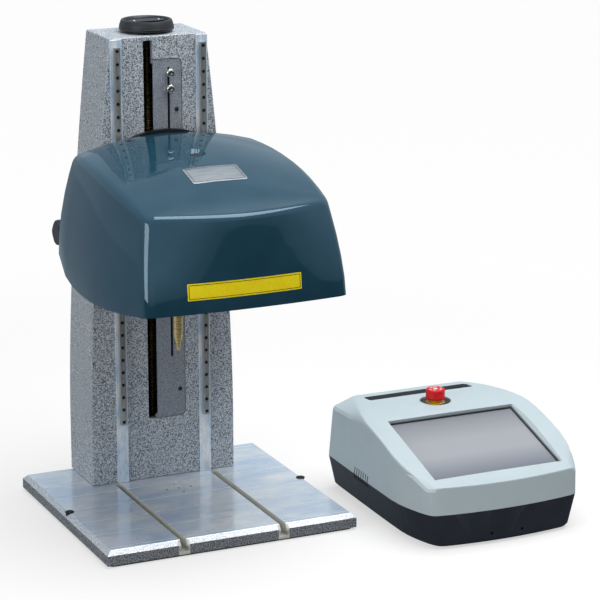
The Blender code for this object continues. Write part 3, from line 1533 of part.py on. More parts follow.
def build_ports(rocking):
    """Power inlet with its rocker switch, and the socket for the marking head."""
    entry_x = console_x + entry_offset_x
    face = console_rear_y + seat_gap + entry_lip
    flange = centred_box((entry_x, face - entry_lip / 2, port_z), (entry_flange[0], entry_lip, entry_flange[1]))
    entry = add_piece("power_entry", flange, black_plastic, origin=(entry_x, face, port_z), smooth=False)
    back = face - entry_depth
    join(entry, centred_box((entry_x, (face - entry_lip / 2 + back) / 2, port_z),
                            (entry_body[0], face - entry_lip / 2 - back, entry_body[1])))
    for offset, mouth, depth in ((inlet_offset_x, inlet_mouth, inlet_mouth_depth),
                                 (bay_offset_x, bay_mouth, bay_depth)):
        centre = (entry_x + offset, face, port_z)
        cut(entry, centred_box(centre, (mouth[0], depth + depth, mouth[1])))

    axis_y = face - rocker_axis_depth
    outline = [(axis_y + rocker_end_rise, port_z + rocker_half_height), (axis_y + rocker_middle_rise, port_z),
               (axis_y + rocker_end_rise, port_z - rocker_half_height),
               (axis_y - rocker_end_drop, port_z - rocker_half_height),
               (axis_y - rocker_middle_drop, port_z), (axis_y - rocker_end_drop, port_z + rocker_half_height)]
    outline = tipped(outline, (axis_y, port_z), rocker_tilt)
    middle_x = entry_x + bay_offset_x
    rocker = prism(outline, middle_x - rocker_width / 2, middle_x + rocker_width / 2, "X")
    add_piece("power_rocker", rocker, stop_red, rocking, smooth=False)

    seat = console_rear_y + seat_gap
    end = seat + socket_outside_length
    inner = seat - socket_inside_length
    profile = [(0, inner), (socket_radius, inner), (socket_radius, seat), (socket_flange, seat),
               (socket_flange, seat + socket_lip), (socket_radius, seat + socket_lip), (socket_radius, end),
               (socket_mouth_radius, end), (socket_mouth_radius, end - socket_mouth_depth),
               (0, end - socket_mouth_depth)]
    place = (console_x + socket_offset_x, 0, port_z)
    add_piece("head_socket", turned(profile, place, "Y", middle_sides), zinc)


def build_shell():
    """Upper shell: arched top with the screen well, grip slot and stop button seat."""
    low = console_joint_z + seat_gap
    shell = add_piece("console_shell", shell_form(0, low), shell_grey,
                      origin=(console_x, console_front_y / 2, low))
    cavity = add_piece("cavity_tool", shell_form(console_wall, low - cut_overrun), None, smooth=False)
    well_floor = -(screen_glass_depth + screen_panel_thickness + seat_gap)
    cut(cavity, screen_well(console_wall, well_floor - console_wall))
    cut(cavity, grip_box(console_wall))
    seat_low = stop_recess_z - stop_seat_thickness
    cut(cavity, rod((console_x, stop_y), stop_recess_radius + console_wall, seat_low,
                    stop_recess_z + grip_depth, "Z", round_sides))
    hide_tool(cavity, shell)
    step = shell.modifiers.new("Cavity", "BOOLEAN")
    step.operation = "DIFFERENCE"
    step.object = cavity
    step.solver = "EXACT"
    cut(shell, screen_well(0, well_floor))
    cut(shell, grip_box(0))
    cut(shell, rod((console_x, stop_y), stop_recess_radius, stop_recess_z, stop_recess_z + grip_depth,
                   "Z", round_sides))
    cut(shell, rod((console_x, stop_y), stop_neck_radius + run_gap, seat_low - cut_overrun,
                   stop_recess_z + cut_overrun, "Z", round_sides))
    for side in (-1, 1):
        cut(shell, vent_cutter(side))

    middle = (console_x, (screen_front_y + screen_rear_y) / 2, (screen_front_z + screen_rear_z) / 2)
    panel = screen_box(-seat_gap, -screen_glass_depth - screen_panel_thickness, -screen_glass_depth)
    add_piece("screen_panel", panel, glass_grey, smooth=False, origin=middle)
    frame_low = -screen_glass_depth + seat_gap
    frame = add_piece("screen_frame", screen_box(-seat_gap, frame_low, frame_low + screen_frame_height),
                      tub_slate, smooth=False, origin=middle)
    cut(frame, screen_box(-screen_frame_band, frame_low - cut_overrun, screen_well_clearance))


def build_stop(push, twist):
    """Emergency stop: yellow ring, sliding stem, twisting mushroom head and contact block."""
    place = (console_x, stop_y, 0)
    ring_low = stop_recess_z + seat_gap
    ring_top = ring_low + stop_ring_height
    bore = stop_neck_radius + run_gap
    ring = [(bore, ring_low), (stop_ring_radius, ring_low), (stop_ring_radius, ring_top), (bore, ring_top)]
    add_piece("stop_ring", turned(ring, place), stop_yellow)
    block_top = stop_recess_z - stop_seat_thickness - seat_gap
    stem_low = block_top - stop_block_bore_depth + stop_travel + run_gap
    stem_wide = ring_top + stop_travel + run_gap
    stem_top = stop_head_bottom - seat_gap
    stem = [(0, stem_low), (stop_neck_radius, stem_low), (stop_neck_radius, stem_wide),
            (stop_stem_radius, stem_wide), (stop_stem_radius, stem_top), (0, stem_top)]
    add_piece("stop_stem", turned(stem, place), black_plastic, push)
    head = [(stop_head_radius * wide, stop_head_bottom + stop_head_height * up)
            for wide, up in stop_head_profile_shares]
    head = [(0, stop_head_bottom)] + head + [(0, stop_head_bottom + stop_head_height)]
    add_piece("stop_head", turned(head, place), stop_red, twist)
    half = stop_block_size / 2
    low = (console_x - half, stop_y - half, block_top - stop_block_height)
    high = (console_x + half, stop_y + half, block_top)
    block = add_piece("stop_contact_block", box(low, high), tub_slate, smooth=False,
                      origin=(console_x, stop_y, block_top))
    cut(block, rod((console_x, stop_y), bore, block_top - stop_block_bore_depth, block_top + cut_overrun,
                   "Z", round_sides))


# The machine: fixed pieces first, then what moves
build_base()
build_column()
build_rails()

drive_axis = add_axis("lead_screw_axis", (0, screw_y, column_top))
build_drive(drive_axis)
limit_slide = add_axis("limit_slide_axis", (plate_slot_x, column_front_y, limit_upper_z))
build_limit(limit_slide)

head_lift = add_axis("head_lift_axis", (0, carriage_back_y, carriage_low_z))
build_head_carrier(head_lift)
lock_axis = add_axis("lock_axis", (lock_knob_x, back_plate_rear_y + seat_gap + lock_block_depth / 2, lock_z),
                     head_lift)
build_lock(head_lift, lock_axis)
cover_seat_z = build_cover(head_lift)
build_head_frame(head_lift, cover_seat_z)

stage_y = add_axis("stage_y_axis", (0, bridge_y, guide_y_z), head_lift)
stage_x = add_axis("stage_x_axis", (stylus_x, bridge_y, guide_x_z), stage_y)
turn_y = add_axis("stage_screw_y_axis", (0, bridge_y, drive_y_z), head_lift)
turn_x = add_axis("stage_screw_x_axis", (0, bridge_y, guide_x_z), stage_y)
strike = add_axis("stylus_strike_axis", (stylus_x, stylus_y, stylus_tip_z), stage_x)
build_stage(head_lift, stage_y, stage_x, turn_y, turn_x, strike)

build_tub()
build_shell()
rocker_axis = add_axis("rocker_axis", (console_x + entry_offset_x + bay_offset_x,
                                       console_rear_y + seat_gap + entry_lip - rocker_axis_depth, port_z))
build_ports(rocker_axis)
stop_push = add_axis("stop_push_axis", (console_x, stop_y, stop_recess_z))
stop_twist = add_axis("stop_twist_axis", (console_x, stop_y, stop_head_bottom), stop_push)
build_stop(stop_push, stop_twist)
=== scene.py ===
"""Looks of a nameplate marking machine: a column stand with a lifting marking head, and its console."""

import json
import math

import bpy
import numpy
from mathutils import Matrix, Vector

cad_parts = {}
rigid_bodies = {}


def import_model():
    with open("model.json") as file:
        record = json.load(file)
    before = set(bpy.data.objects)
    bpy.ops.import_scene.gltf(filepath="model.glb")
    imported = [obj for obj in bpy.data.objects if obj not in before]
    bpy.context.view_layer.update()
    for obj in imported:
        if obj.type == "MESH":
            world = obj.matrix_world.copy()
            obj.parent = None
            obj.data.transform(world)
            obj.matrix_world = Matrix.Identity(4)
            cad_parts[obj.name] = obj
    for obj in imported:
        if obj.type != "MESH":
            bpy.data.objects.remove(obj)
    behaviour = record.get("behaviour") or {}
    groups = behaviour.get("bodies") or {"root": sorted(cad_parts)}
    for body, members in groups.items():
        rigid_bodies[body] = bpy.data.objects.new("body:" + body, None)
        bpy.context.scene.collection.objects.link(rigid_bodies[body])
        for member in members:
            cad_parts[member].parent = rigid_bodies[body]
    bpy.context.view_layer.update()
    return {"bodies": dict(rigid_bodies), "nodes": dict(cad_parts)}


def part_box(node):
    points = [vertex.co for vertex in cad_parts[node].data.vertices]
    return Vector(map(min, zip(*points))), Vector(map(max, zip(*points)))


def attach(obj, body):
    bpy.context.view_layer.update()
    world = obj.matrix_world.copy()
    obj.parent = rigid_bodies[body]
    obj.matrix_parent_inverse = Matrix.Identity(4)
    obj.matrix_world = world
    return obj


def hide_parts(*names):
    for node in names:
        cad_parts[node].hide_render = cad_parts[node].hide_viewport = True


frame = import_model()

mm = 0.001
nodes = frame["nodes"]
body_of_node = {}
for body_name, body_empty in frame["bodies"].items():
    for child in body_empty.children:
        body_of_node[child.name] = body_name

# The mix node's sockets by their place: its two numbers, its two colours, and its colour result.
mix_low, mix_high, mix_first, mix_second, mix_result = 2, 3, 6, 7, 2


# Camera at the photograph's angle

camera_place = (-1.3748, -3.4235, 1.3237)
camera_pitch = math.radians(15.03)
camera_yaw = math.radians(24.62)
sensor_width = 36.0
focal_pixels = 2521.7
picture_pixels = 600

view_data = bpy.data.cameras.new("photo_view")
view_data.sensor_width = sensor_width
view_data.lens = focal_pixels / picture_pixels * sensor_width
view_data.clip_end = 60.0
photo_view = bpy.data.objects.new("photo_view", view_data)
photo_view.location = camera_place
photo_view.rotation_euler = (math.pi / 2 - camera_pitch, 0.0, -camera_yaw)
bpy.context.scene.collection.objects.link(photo_view)
bpy.context.scene.camera = photo_view
bpy.context.scene.view_settings.view_transform = "Standard"


# Materials

def linear(code):
    """A written sRGB colour as linear light."""
    parts = [int(code[i:i + 2], 16) / 255 for i in (1, 3, 5)]
    return [p / 12.92 if p <= 0.04045 else ((p + 0.055) / 1.055) ** 2.4 for p in parts] + [1.0]


def add(tree, kind, settings=None, links=None):
    """One node, with its settings by property or socket name and the sockets that feed it."""
    made = tree.nodes.new(kind)
    for key, value in (settings or {}).items():
        if key == "stops":
            ramp = made.color_ramp
            while len(ramp.elements) < len(value):
                ramp.elements.new(0.5)
            for stop, (position, colour) in zip(ramp.elements, value):
                stop.position, stop.color = position, colour
        elif isinstance(key, str) and key in made.bl_rna.properties:
            setattr(made, key, value)
        else:
            made.inputs[key].default_value = value
    for key, socket in (links or {}).items():
        tree.links.new(socket, made.inputs[key])
    return made


def blank(name):
    """A material with an empty tree, and the Object coordinates in it."""
    made = bpy.data.materials.new(name)
    made.use_nodes = True
    tree = made.node_tree
    tree.nodes.clear()
    return made, tree, add(tree, "ShaderNodeTexCoord").outputs["Object"]


def speckle(tree, place, size, detail=2.0, roughness=0.5):
    """Noise with grains of the given size in millimetres, one size or one for each axis."""
    if isinstance(size, (int, float)):
        size = (size, size, size)
    laid = add(tree, "ShaderNodeMapping", {"Scale": [1 / (s * mm) for s in size]}, {"Vector": place})
    return add(tree, "ShaderNodeTexNoise", {"Scale": 1.0, "Detail": detail, "Roughness": roughness},
               {"Vector": laid.outputs["Vector"]}).outputs["Fac"]


def ranged(tree, value, start, end, low=0.0, high=1.0, kind="LINEAR"):
    """A value that runs from start to end, laid onto the range from low to high and held at its ends."""
    settings = {"interpolation_type": kind, "From Min": start, "From Max": end, "To Min": low, "To Max": high}
    return add(tree, "ShaderNodeMapRange", settings, {"Value": value}).outputs["Result"]


def spread(tree, value, low, high):
    """The middle of a noise stretched to the range from low to high."""
    return ranged(tree, value, 0.3, 0.7, low, high)


def raised(tree, value, depth):
    """A bump whose full height is a depth in millimetres."""
    return add(tree, "ShaderNodeBump", {"Strength": 1.0, "Distance": depth * mm},
               {"Height": value}).outputs["Normal"]


def between(tree, factor, first, second):
    """A mix of two colours, each written in hex or coming from a socket."""
    settings, links = {"data_type": "RGBA"}, {0: factor}
    for key, colour in ((mix_first, first), (mix_second, second)):
        if isinstance(colour, str):
            settings[key] = linear(colour)
        else:
            links[key] = colour
    return add(tree, "ShaderNodeMix", settings, links).outputs[mix_result]


def reckon(tree, operation, first, second=0.0):
    """One step of reckoning on two values, each a number or a socket."""
    settings, links = {"operation": operation}, {}
    for place, value in enumerate((first, second)):
        (settings if isinstance(value, (int, float)) else links)[place] = value
    return add(tree, "ShaderNodeMath", settings, links).outputs[0]


def within(tree, limits):
    """One where every value keeps its limit in millimetres, and nought elsewhere."""
    mask = 1.0
    for value, sign, limit in limits:
        mask = reckon(tree, "MULTIPLY", mask, reckon(tree, sign, value, limit * mm))
    return mask


def axes(tree, place):
    """The three coordinates of a place."""
    parts = add(tree, "ShaderNodeSeparateXYZ", None, {"Vector": place})
    return [parts.outputs[axis] for axis in "XYZ"]


def shown(tree, shader):
    add(tree, "ShaderNodeOutputMaterial", None, {"Surface": shader.outputs[0]})


def finish(name, colours, patch, roughness, grain, depth, **fixed):
    """A finish of two near colours in patches, a spread of roughness, and a grain with a depth."""
    made, tree, place = blank(name)
    patches = speckle(tree, place, patch, 3.0)
    grains = speckle(tree, place, grain)
    shader = add(tree, "ShaderNodeBsdfPrincipled",
                 {key.replace("_", " "): value for key, value in fixed.items()},
                 {"Base Color": between(tree, spread(tree, patches, 0.0, 1.0), *colours),
                  "Roughness": spread(tree, grains, *roughness),
                  "Normal": raised(tree, grains, depth)})
    shown(tree, shader)
    return made


def enamel_cells(tree, place, fleck, dark, body, pale):
    """The cells of hammered enamel, and their colour from dark flecks up to pale cells."""
    cells = speckle(tree, place, fleck, 2.0, 0.6)
    stops = [(position, linear(colour)) for position, colour in ((0.40, dark), (0.50, body), (0.62, pale))]
    return cells, add(tree, "ShaderNodeValToRGB", {"stops": stops}, {"Fac": cells}).outputs["Color"]


def hammered(name, pale, body, dark, fleck, depth, roughness):
    """Hammered two-tone stove enamel on steel. Dark flecks part pale cells, which stand a little proud."""
    made, tree, place = blank(name)
    cells, tone = enamel_cells(tree, place, fleck, dark, body, pale)
    clouds = speckle(tree, place, 40.0, 2.0)
    shade = between(tree, spread(tree, clouds, 0.0, 0.18), tone, body)
    shader = add(tree, "ShaderNodeBsdfPrincipled", {"IOR": 1.5},
                 {"Base Color": shade, "Roughness": spread(tree, cells, *roughness),
                  "Normal": raised(tree, cells, depth)})
    shown(tree, shader)
    return made


# The column's enamel is strongly flecked, the thin sheets' is greyer and nearly even.
hammertone_steel = hammered("hammered_enamel_on_steel", "#dfe6ed", "#b8c1ca", "#333a43", 1.5, 0.16,
                            (0.34, 0.48))
hammertone_cover = hammered("hammered_enamel_thin_sheet", "#a5acb6", "#949ca6", "#70767f", 1.5, 0.06,
                            (0.38, 0.50))


def milled_plate():
    """Fly-cut aluminium with enamelled edges. The cutter leaves pale seams between its passes and a soft
    mirror;
    blue clouds in its colour are a painted reflection of the bluish column. The chamfer keeps a coarse bright
    cut;
    the slots are dull from the end mill, and their pale colour is painted light against the shade inside
    them."""
    made, tree, place = blank("fly_cut_aluminium_plate")
    pass_width, seam_width, seam_wander = 58.0, 2.0, 2.4
    paint_top, bare_from = 18.4, 24.7
    slot_middle, slot_reach = 80.0, 8.8
    x, y, z = axes(tree, place)
    wander = reckon(tree, "MULTIPLY", speckle(tree, place, (70.0, 30.0, 30.0)), seam_wander * mm)
    turn = reckon(tree, "PINGPONG", reckon(tree, "ADD", y, wander), pass_width / 2 * mm)
    seam = ranged(tree, turn, 0.0, seam_width * mm, 1.0, 0.0)
    clouds = spread(tree, speckle(tree, place, (90.0, 45.0, 45.0), 4.0, 0.6), 0.0, 1.0)
    wipes = spread(tree, speckle(tree, place, (60.0, 7.0, 7.0), 4.0, 0.7), 0.0, 1.0)
    cutter = speckle(tree, place, (1.4, 16.0, 16.0), 2.0)
    # Painted reflection: blue clouds in the colour stand for the bluish column mirrored in the plate.
    cast = between(tree, clouds, "#a6c8ee", "#ffffff")
    swept = between(tree, reckon(tree, "MULTIPLY", wipes, 0.45), cast, "#f4f6f8")
    rough = reckon(tree, "ADD", spread(tree, wipes, 0.11, 0.20), reckon(tree, "MULTIPLY", seam, 0.25))
    metal = add(tree, "ShaderNodeBsdfPrincipled", {"Metallic": 0.4},
                {"Base Color": between(tree, seam, swept, "#e6fffa"), "Roughness": rough,
                 "Normal": raised(tree, cutter, 0.006)})
    cells, tone = enamel_cells(tree, place, 1.9, "#43474e", "#80858c", "#b0b4b8")
    paint = add(tree, "ShaderNodeBsdfPrincipled", {"IOR": 1.5},
                {"Base Color": tone, "Roughness": spread(tree, cells, 0.40, 0.60),
                 "Normal": raised(tree, cells, 0.3)})
    sparkle = speckle(tree, place, 1.6, 1.0)
    coarse = add(tree, "ShaderNodeBsdfPrincipled", {"Metallic": 0.6},
                 {"Base Color": between(tree, spread(tree, sparkle, 0.0, 1.0), "#9aa0a6", "#ffffff"),
                  "Roughness": spread(tree, sparkle, 0.30, 0.50), "Normal": raised(tree, sparkle, 0.35)})
    mill = speckle(tree, place, (3.0, 1.0, 1.0))
    # The slot walls' matt finish is the end mill's; their pale colour is painted light against the shade in
    # the slots.
    dull = add(tree, "ShaderNodeBsdfPrincipled", {"Metallic": 0.1},
               {"Base Color": between(tree, spread(tree, mill, 0.0, 1.0), "#d0d0c8", "#e6e6df"),
                "Roughness": spread(tree, mill, 0.45, 0.60), "Normal": raised(tree, mill, 0.02)})
    bare = reckon(tree, "GREATER_THAN", z, bare_from * mm)
    edge = reckon(tree, "GREATER_THAN", z, paint_top * mm)
    aside = reckon(tree, "SUBTRACT", reckon(tree, "ABSOLUTE", x), slot_middle * mm)
    off_slot = reckon(tree, "ABSOLUTE", aside)
    in_slot = reckon(tree, "LESS_THAN", off_slot, slot_reach * mm)
    layers = paint
    for factor, layer in ((edge, coarse), (in_slot, dull), (bare, metal)):
        layers = add(tree, "ShaderNodeMixShader", None,
                     {0: factor, 1: layers.outputs[0], 2: layer.outputs[0]})
    shown(tree, layers)
    return made


aluminium_plate = milled_plate()
# Milled aluminium pads: bright, with blue and white clouds from the cutter along the pad.
aluminium_pad = finish("milled_aluminium_pad", ("#bcd8f2", "#ffffff"), (9.0, 9.0, 34.0), (0.24, 0.38),
                       (0.9, 0.9, 9.0), 0.01, Metallic=0.2)
# Milled aluminium: even and pale, with a fine cutter grain across it.
aluminium_milled = finish("milled_aluminium", ("#c6ccd2", "#dfe3e6"), 30.0, (0.28, 0.42),
                          (1.0, 8.0, 8.0), 0.01, Metallic=1.0)
# Ground bearing steel: grey, with grinding lines along the rail.
rail_ground = finish("ground_bearing_steel", ("#aaaaa6", "#cfcecb"), (4.0, 4.0, 60.0), (0.24, 0.38),
                     (0.6, 0.6, 24.0), 0.008, Metallic=0.75)
# Phosphated steel: nearly black and dull, with a faint mottle.
steel_dark = finish("phosphated_steel", ("#3b3f44", "#50555b"), 6.0, (0.40, 0.58), 0.8, 0.02, Metallic=1.0)
# Zinc plated steel: pale and slightly clouded.
steel_zinc = finish("zinc_plated_steel", ("#a2a6aa", "#bdc1c4"), 8.0, (0.26, 0.42), 1.0, 0.01, Metallic=1.0)
# Polished nickel plate: mirror bright and faintly warm.
nickel_bright = finish("polished_nickel_plate", ("#d6d3cb", "#ece9e2"), 10.0, (0.08, 0.18), 0.8, 0.004,
                       Metallic=1.0)
# Turned brass: bright yellow with the tool's fine rings round it.
brass_turned = finish("turned_brass", ("#efc062", "#ffedb4"), (12.0, 12.0, 7.0), (0.24, 0.34),
                      (20.0, 20.0, 0.7), 0.004, Metallic=0.7)
# Rolled steel thread under old grease: amber brown in its hollows.
steel_greased = finish("greased_rolled_steel", ("#7b6a48", "#a8946a"), (20.0, 20.0, 5.0), (0.28, 0.42),
                       1.2, 0.02, Metallic=1.0)
# Plastic of the stop collar: brown black and satin; its dark colour is painted shade for the button's well.
collar_painted_shade = finish("collar_plastic_painted_shade", ("#1b1512", "#2a201b"), 9.0, (0.38, 0.50), 2.0, 0.005, IOR=1.5)
# Cast bronze: brown and duller than the brass.
bronze_cast = finish("cast_bronze", ("#8d6534", "#a87a43"), 9.0, (0.35, 0.5), 0.9, 0.03, Metallic=1.0)
# Black anodised aluminium: dark satin with a soft sheen from the blasted surface.
anodised_black = finish("black_anodised_aluminium", ("#1c1d20", "#26272b"), 18.0, (0.34, 0.46), 0.7, 0.012,
                        Metallic=0.55)
# Moulded rubber: black, dull and slightly grainy.
rubber_black = finish("moulded_rubber", ("#141517", "#1c1d1f"), 14.0, (0.70, 0.86), 0.9, 0.05, IOR=1.52)
# Moulded nylon: black with a satin skin and a spark-eroded grain.
nylon_black = finish("moulded_nylon", ("#191a1c", "#232427"), 16.0, (0.36, 0.50), 0.8, 0.03, IOR=1.53)


console_middle = 382.0
vent_heights, vent_ys = (46.0, 67.5), (-156.0, -94.0)
# The side wall's outer face runs nearly straight along the vents; inside this line the slots are painted dark
# as shade.
vent_wall_slope, vent_wall_reach = 0.0213, 139.1
# The grip slot's walls are painted dark as shade, by the last of these values.
grip_half_length, grip_ys, grip_heights, grip_painted_shade = 91.3, (-52.0, -24.7), (120.0, 149.2), 0.8


def grained_abs(name, colours, depth):
    """Moulded ABS with a fine grain that softens every highlight; the insides of its vent slots and grip slot
    are painted dark as shade.
    """
    made, tree, place = blank(name)
    patches, grains = speckle(tree, place, 40.0, 3.0), speckle(tree, place, 0.9)
    x, y, z = axes(tree, place)
    aside = reckon(tree, "ABSOLUTE", reckon(tree, "SUBTRACT", x, console_middle * mm))
    wall = reckon(tree, "ADD", aside, reckon(tree, "MULTIPLY", y, vent_wall_slope))
    vents = within(tree, (
        (wall, "LESS_THAN", vent_wall_reach), (y, "GREATER_THAN", vent_ys[0]), (y, "LESS_THAN", vent_ys[1]),
        (z, "GREATER_THAN", vent_heights[0]), (z, "LESS_THAN", vent_heights[1])))
    grip = within(tree, (
        (aside, "LESS_THAN", grip_half_length), (y, "GREATER_THAN", grip_ys[0]), (y, "LESS_THAN", grip_ys[1]),
        (z, "LESS_THAN", grip_heights[1]), (z, "GREATER_THAN", grip_heights[0])))
    # Painted shade: the vent slots and the grip slot's walls are darkened by where they lie.
    shade = reckon(tree, "MAXIMUM", vents, reckon(tree, "MULTIPLY", grip, grip_painted_shade))
    colour = between(tree, shade, between(tree, spread(tree, patches, 0.0, 1.0), *colours), "#16191b")
    shader = add(tree, "ShaderNodeBsdfPrincipled", {"IOR": 1.53},
                 {"Base Color": colour, "Roughness": spread(tree, grains, 0.42, 0.55),
                  "Normal": raised(tree, grains, depth)})
    shown(tree, shader)
    return made


# Slate and pale blue-grey mouldings: matt, the slate one with a little more grain.
abs_slate = grained_abs("grained_abs_slate", ("#272c35", "#2e343e"), 0.03)
abs_pale = grained_abs("grained_abs_pale", ("#c0cfd5", "#c4d3d9"), 0.02)
# Moulded red plastic of the stop head: bright and satin, with a slight orange peel.
stop_red = finish("satin_moulded_red", ("#d40a14", "#e0141c"), 9.0, (0.40, 0.50), 2.0, 0.01, IOR=1.4)
# Moulded yellow plastic: plain and satin.
stop_yellow = finish("satin_moulded_yellow", ("#f0bd00", "#f9cd0c"), 9.0, (0.36, 0.48), 1.0, 0.01, IOR=1.5)
# White pad print on the stop head: flat and slightly uneven.
print_white = finish("white_pad_print", ("#dddbd6", "#f2f0ec"), 3.0, (0.40, 0.55), 1.0, 0.01, IOR=1.5)
# Printed vinyl: flat saturated yellow under a clear film.
vinyl_yellow = finish("printed_vinyl_yellow", ("#fbe100", "#ffea14"), 24.0, (0.24, 0.34), 3.0, 0.008, IOR=1.5)
# The border printed on it: black under the same film.
vinyl_black = finish("printed_vinyl_black", ("#1b1b1a", "#242422"), 24.0, (0.26, 0.36), 3.0, 0.008, IOR=1.5)
# Brushed aluminium foil of the badge, under clear resin: lines along its length.
badge_foil = finish("brushed_aluminium_foil", ("#8f9396", "#a9acae"), (26.0, 3.0, 3.0), (0.34, 0.46),
                    (18.0, 0.5, 0.5), 0.008, Metallic=0.9, Coat_Weight=0.5, Coat_Roughness=0.08)


def gel_coat():
    """Polished petrol blue gel coat on a moulded shell: deep colour, a wet gloss and a slight long wave."""
    made, tree, place = blank("polished_petrol_gel_coat")
    tint = spread(tree, speckle(tree, place, 60.0, 2.0), 0.0, 1.0)
    peel = speckle(tree, place, 2.4, 1.0)
    long_wave = raised(tree, speckle(tree, place, 34.0, 1.0), 0.08)
    shader = add(tree, "ShaderNodeBsdfPrincipled",
                 {"Metallic": 0.25, "IOR": 1.6},
                 {"Base Color": between(tree, tint, "#234a5d", "#2a5164"),
                  "Roughness": spread(tree, peel, 0.035, 0.055), "Normal": long_wave})
    shown(tree, shader)
    return made


petrol_gel_coat = gel_coat()


def anti_glare():
    """Etched glass over an unlit display: matte grey, with a painted reflection in its colour that is pale
    across its middle and dark at its lower edge.
    """
    made, tree, place = blank("etched_glass_over_display")
    low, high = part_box("screen_panel")
    rise = ranged(tree, axes(tree, place)[1], low.y, high.y)
    # Painted reflection: dark at the lower edge, pale across the middle, greyer at the top.
    sheen = add(tree, "ShaderNodeValToRGB",
                {"stops": ((0.0, linear("#656c78")), (0.38, linear("#a3a6ad")), (0.62, linear("#a2a4aa")),
                           (1.0, linear("#7f828a")))}, {"Fac": rise}).outputs["Color"]
    fine = speckle(tree, place, 0.8, 1.0)
    shader = add(tree, "ShaderNodeBsdfPrincipled", {"IOR": 1.52, "Coat Weight": 0.35, "Coat Roughness": 0.35},
                 {"Base Color": sheen,
                  "Roughness": spread(tree, fine, 0.34, 0.44), "Normal": raised(tree, fine, 0.004)})
    shown(tree, shader)
    return made


screen_glass = anti_glare()


def banded(name, axis, low, high, cap, ends, middle_part, metallic):
    """A body between two end caps of another colour, with fine lines across it."""
    made, tree, place = blank(name)
    along = axes(tree, place)["XYZ".index(axis)]
    middle, reach, line_width = (low + high) / 2, (high - low) / 2 - cap * mm, 0.5 * mm
    far = reckon(tree, "ABSOLUTE", reckon(tree, "SUBTRACT", along, middle))
    capped = reckon(tree, "GREATER_THAN", far, reach)
    lines = reckon(tree, "PINGPONG", along, line_width)
    grain = speckle(tree, place, 0.9)
    shader = add(tree, "ShaderNodeBsdfPrincipled", {"Metallic": metallic},
                 {"Base Color": between(tree, capped, middle_part, ends),
                  "Roughness": spread(tree, grain, 0.36, 0.52),
                  "Normal": add(tree, "ShaderNodeBump", {"Strength": 0.4, "Distance": 1.0}, {"Height": lines}
                                ).outputs["Normal"]})
    shown(tree, shader)
    return made


# Modelling by hand

def alone(piece):
    bpy.ops.object.select_all(action="DESELECT")
    piece.select_set(True)
    bpy.context.view_layer.objects.active = piece


def edit(piece, kind="FACE"):
    alone(piece)
    bpy.ops.object.mode_set(mode="EDIT")
    bpy.ops.mesh.select_mode(type=kind)
    bpy.ops.mesh.select_all(action="DESELECT")


def done():
    bpy.ops.object.mode_set(mode="OBJECT")


def modified(piece, kind, **settings):
    """A modifier put on and applied."""
    alone(piece)
    made = piece.modifiers.new(kind.lower(), kind)
    for key, value in settings.items():
        setattr(made, key, value)
    bpy.ops.object.modifier_apply(modifier=made.name)


def smooth(piece, degrees=35.0):
    alone(piece)
    bpy.ops.object.shade_smooth_by_angle(angle=math.radians(degrees))


def settle(piece):
    """Puts the place, turn and scale into the mesh, merges it and points its faces outwards."""
    alone(piece)
    bpy.ops.object.transform_apply(location=True, rotation=True, scale=True)
    bpy.ops.object.mode_set(mode="EDIT")
    bpy.ops.mesh.select_all(action="SELECT")
    bpy.ops.mesh.remove_doubles(threshold=0.002 * mm)
    bpy.ops.mesh.normals_make_consistent(inside=False)
    done()


def joined(name, pieces):
    bpy.ops.object.select_all(action="DESELECT")
    for piece in pieces:
        piece.select_set(True)
    bpy.context.view_layer.objects.active = pieces[0]
    if len(pieces) > 1:
        bpy.ops.object.join()
    pieces[0].name = name
    return pieces[0]


def keep(piece, body, slot, look, *replaced):
    """A finished piece: its material, the body it rides on, its slot (not used), and the nodes it stands for.
    """
    piece.data.materials.clear()
    piece.data.materials.append(look)
    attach(piece, body)
    if replaced:
        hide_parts(*replaced)
    return piece


def turned(name, place, profile, sides, axis="Z", degrees=35.0, hollow=False):
    """A lathe-turned piece: a ring drawn along the axis through steps of (radius, height) in millimetres. A
    hollow one ends on the ring that it starts from; any other is closed at both ends."""
    bpy.ops.object.select_all(action="DESELECT")
    radius, height = profile[0]
    bpy.ops.mesh.primitive_circle_add(vertices=sides, radius=radius * mm, location=(0.0, 0.0, height * mm),
                                      fill_type="NOTHING" if hollow else "NGON")
    piece = bpy.context.object
    piece.name = name
    bpy.ops.object.transform_apply(location=True, rotation=True, scale=True)
    bpy.ops.object.mode_set(mode="EDIT")
    bpy.ops.mesh.select_mode(type="EDGE" if hollow else "FACE")
    bpy.ops.mesh.select_all(action="SELECT")
    for next_radius, next_height in profile[1:]:
        bpy.ops.mesh.extrude_region_move(
            TRANSFORM_OT_translate={"value": (0.0, 0.0, (next_height - height) * mm)})
        share = next_radius / radius
        bpy.ops.transform.resize(value=(share, share, 1.0), center_override=(0.0, 0.0, next_height * mm))
        radius, height = next_radius, next_height
    done()
    turn = {"Z": (0.0, 0.0, 0.0), "-Y": (math.pi / 2, 0.0, 0.0), "Y": (-math.pi / 2, 0.0, 0.0),
            "X": (0.0, math.pi / 2, 0.0), "-X": (0.0, -math.pi / 2, 0.0), "-Z": (math.pi, 0.0, 0.0)}[axis]
    piece.rotation_euler = turn
    piece.location = [p * mm for p in place]
    settle(piece)
    smooth(piece, degrees)
    return piece


def block(name, low, high, edge, segments=2):
    """A block between two corners in millimetres, with its edges rounded over."""
    bpy.ops.object.select_all(action="DESELECT")
    size = [(b - a) * mm for a, b in zip(low, high)]
    middle = [(a + b) / 2 * mm for a, b in zip(low, high)]
    bpy.ops.mesh.primitive_cube_add(size=1.0, location=middle, scale=size)
    piece = bpy.context.object
    piece.name = name
    settle(piece)
    if edge:
        modified(piece, "BEVEL", width=edge * mm, segments=segments, limit_method="ANGLE")
    smooth(piece)
    return piece


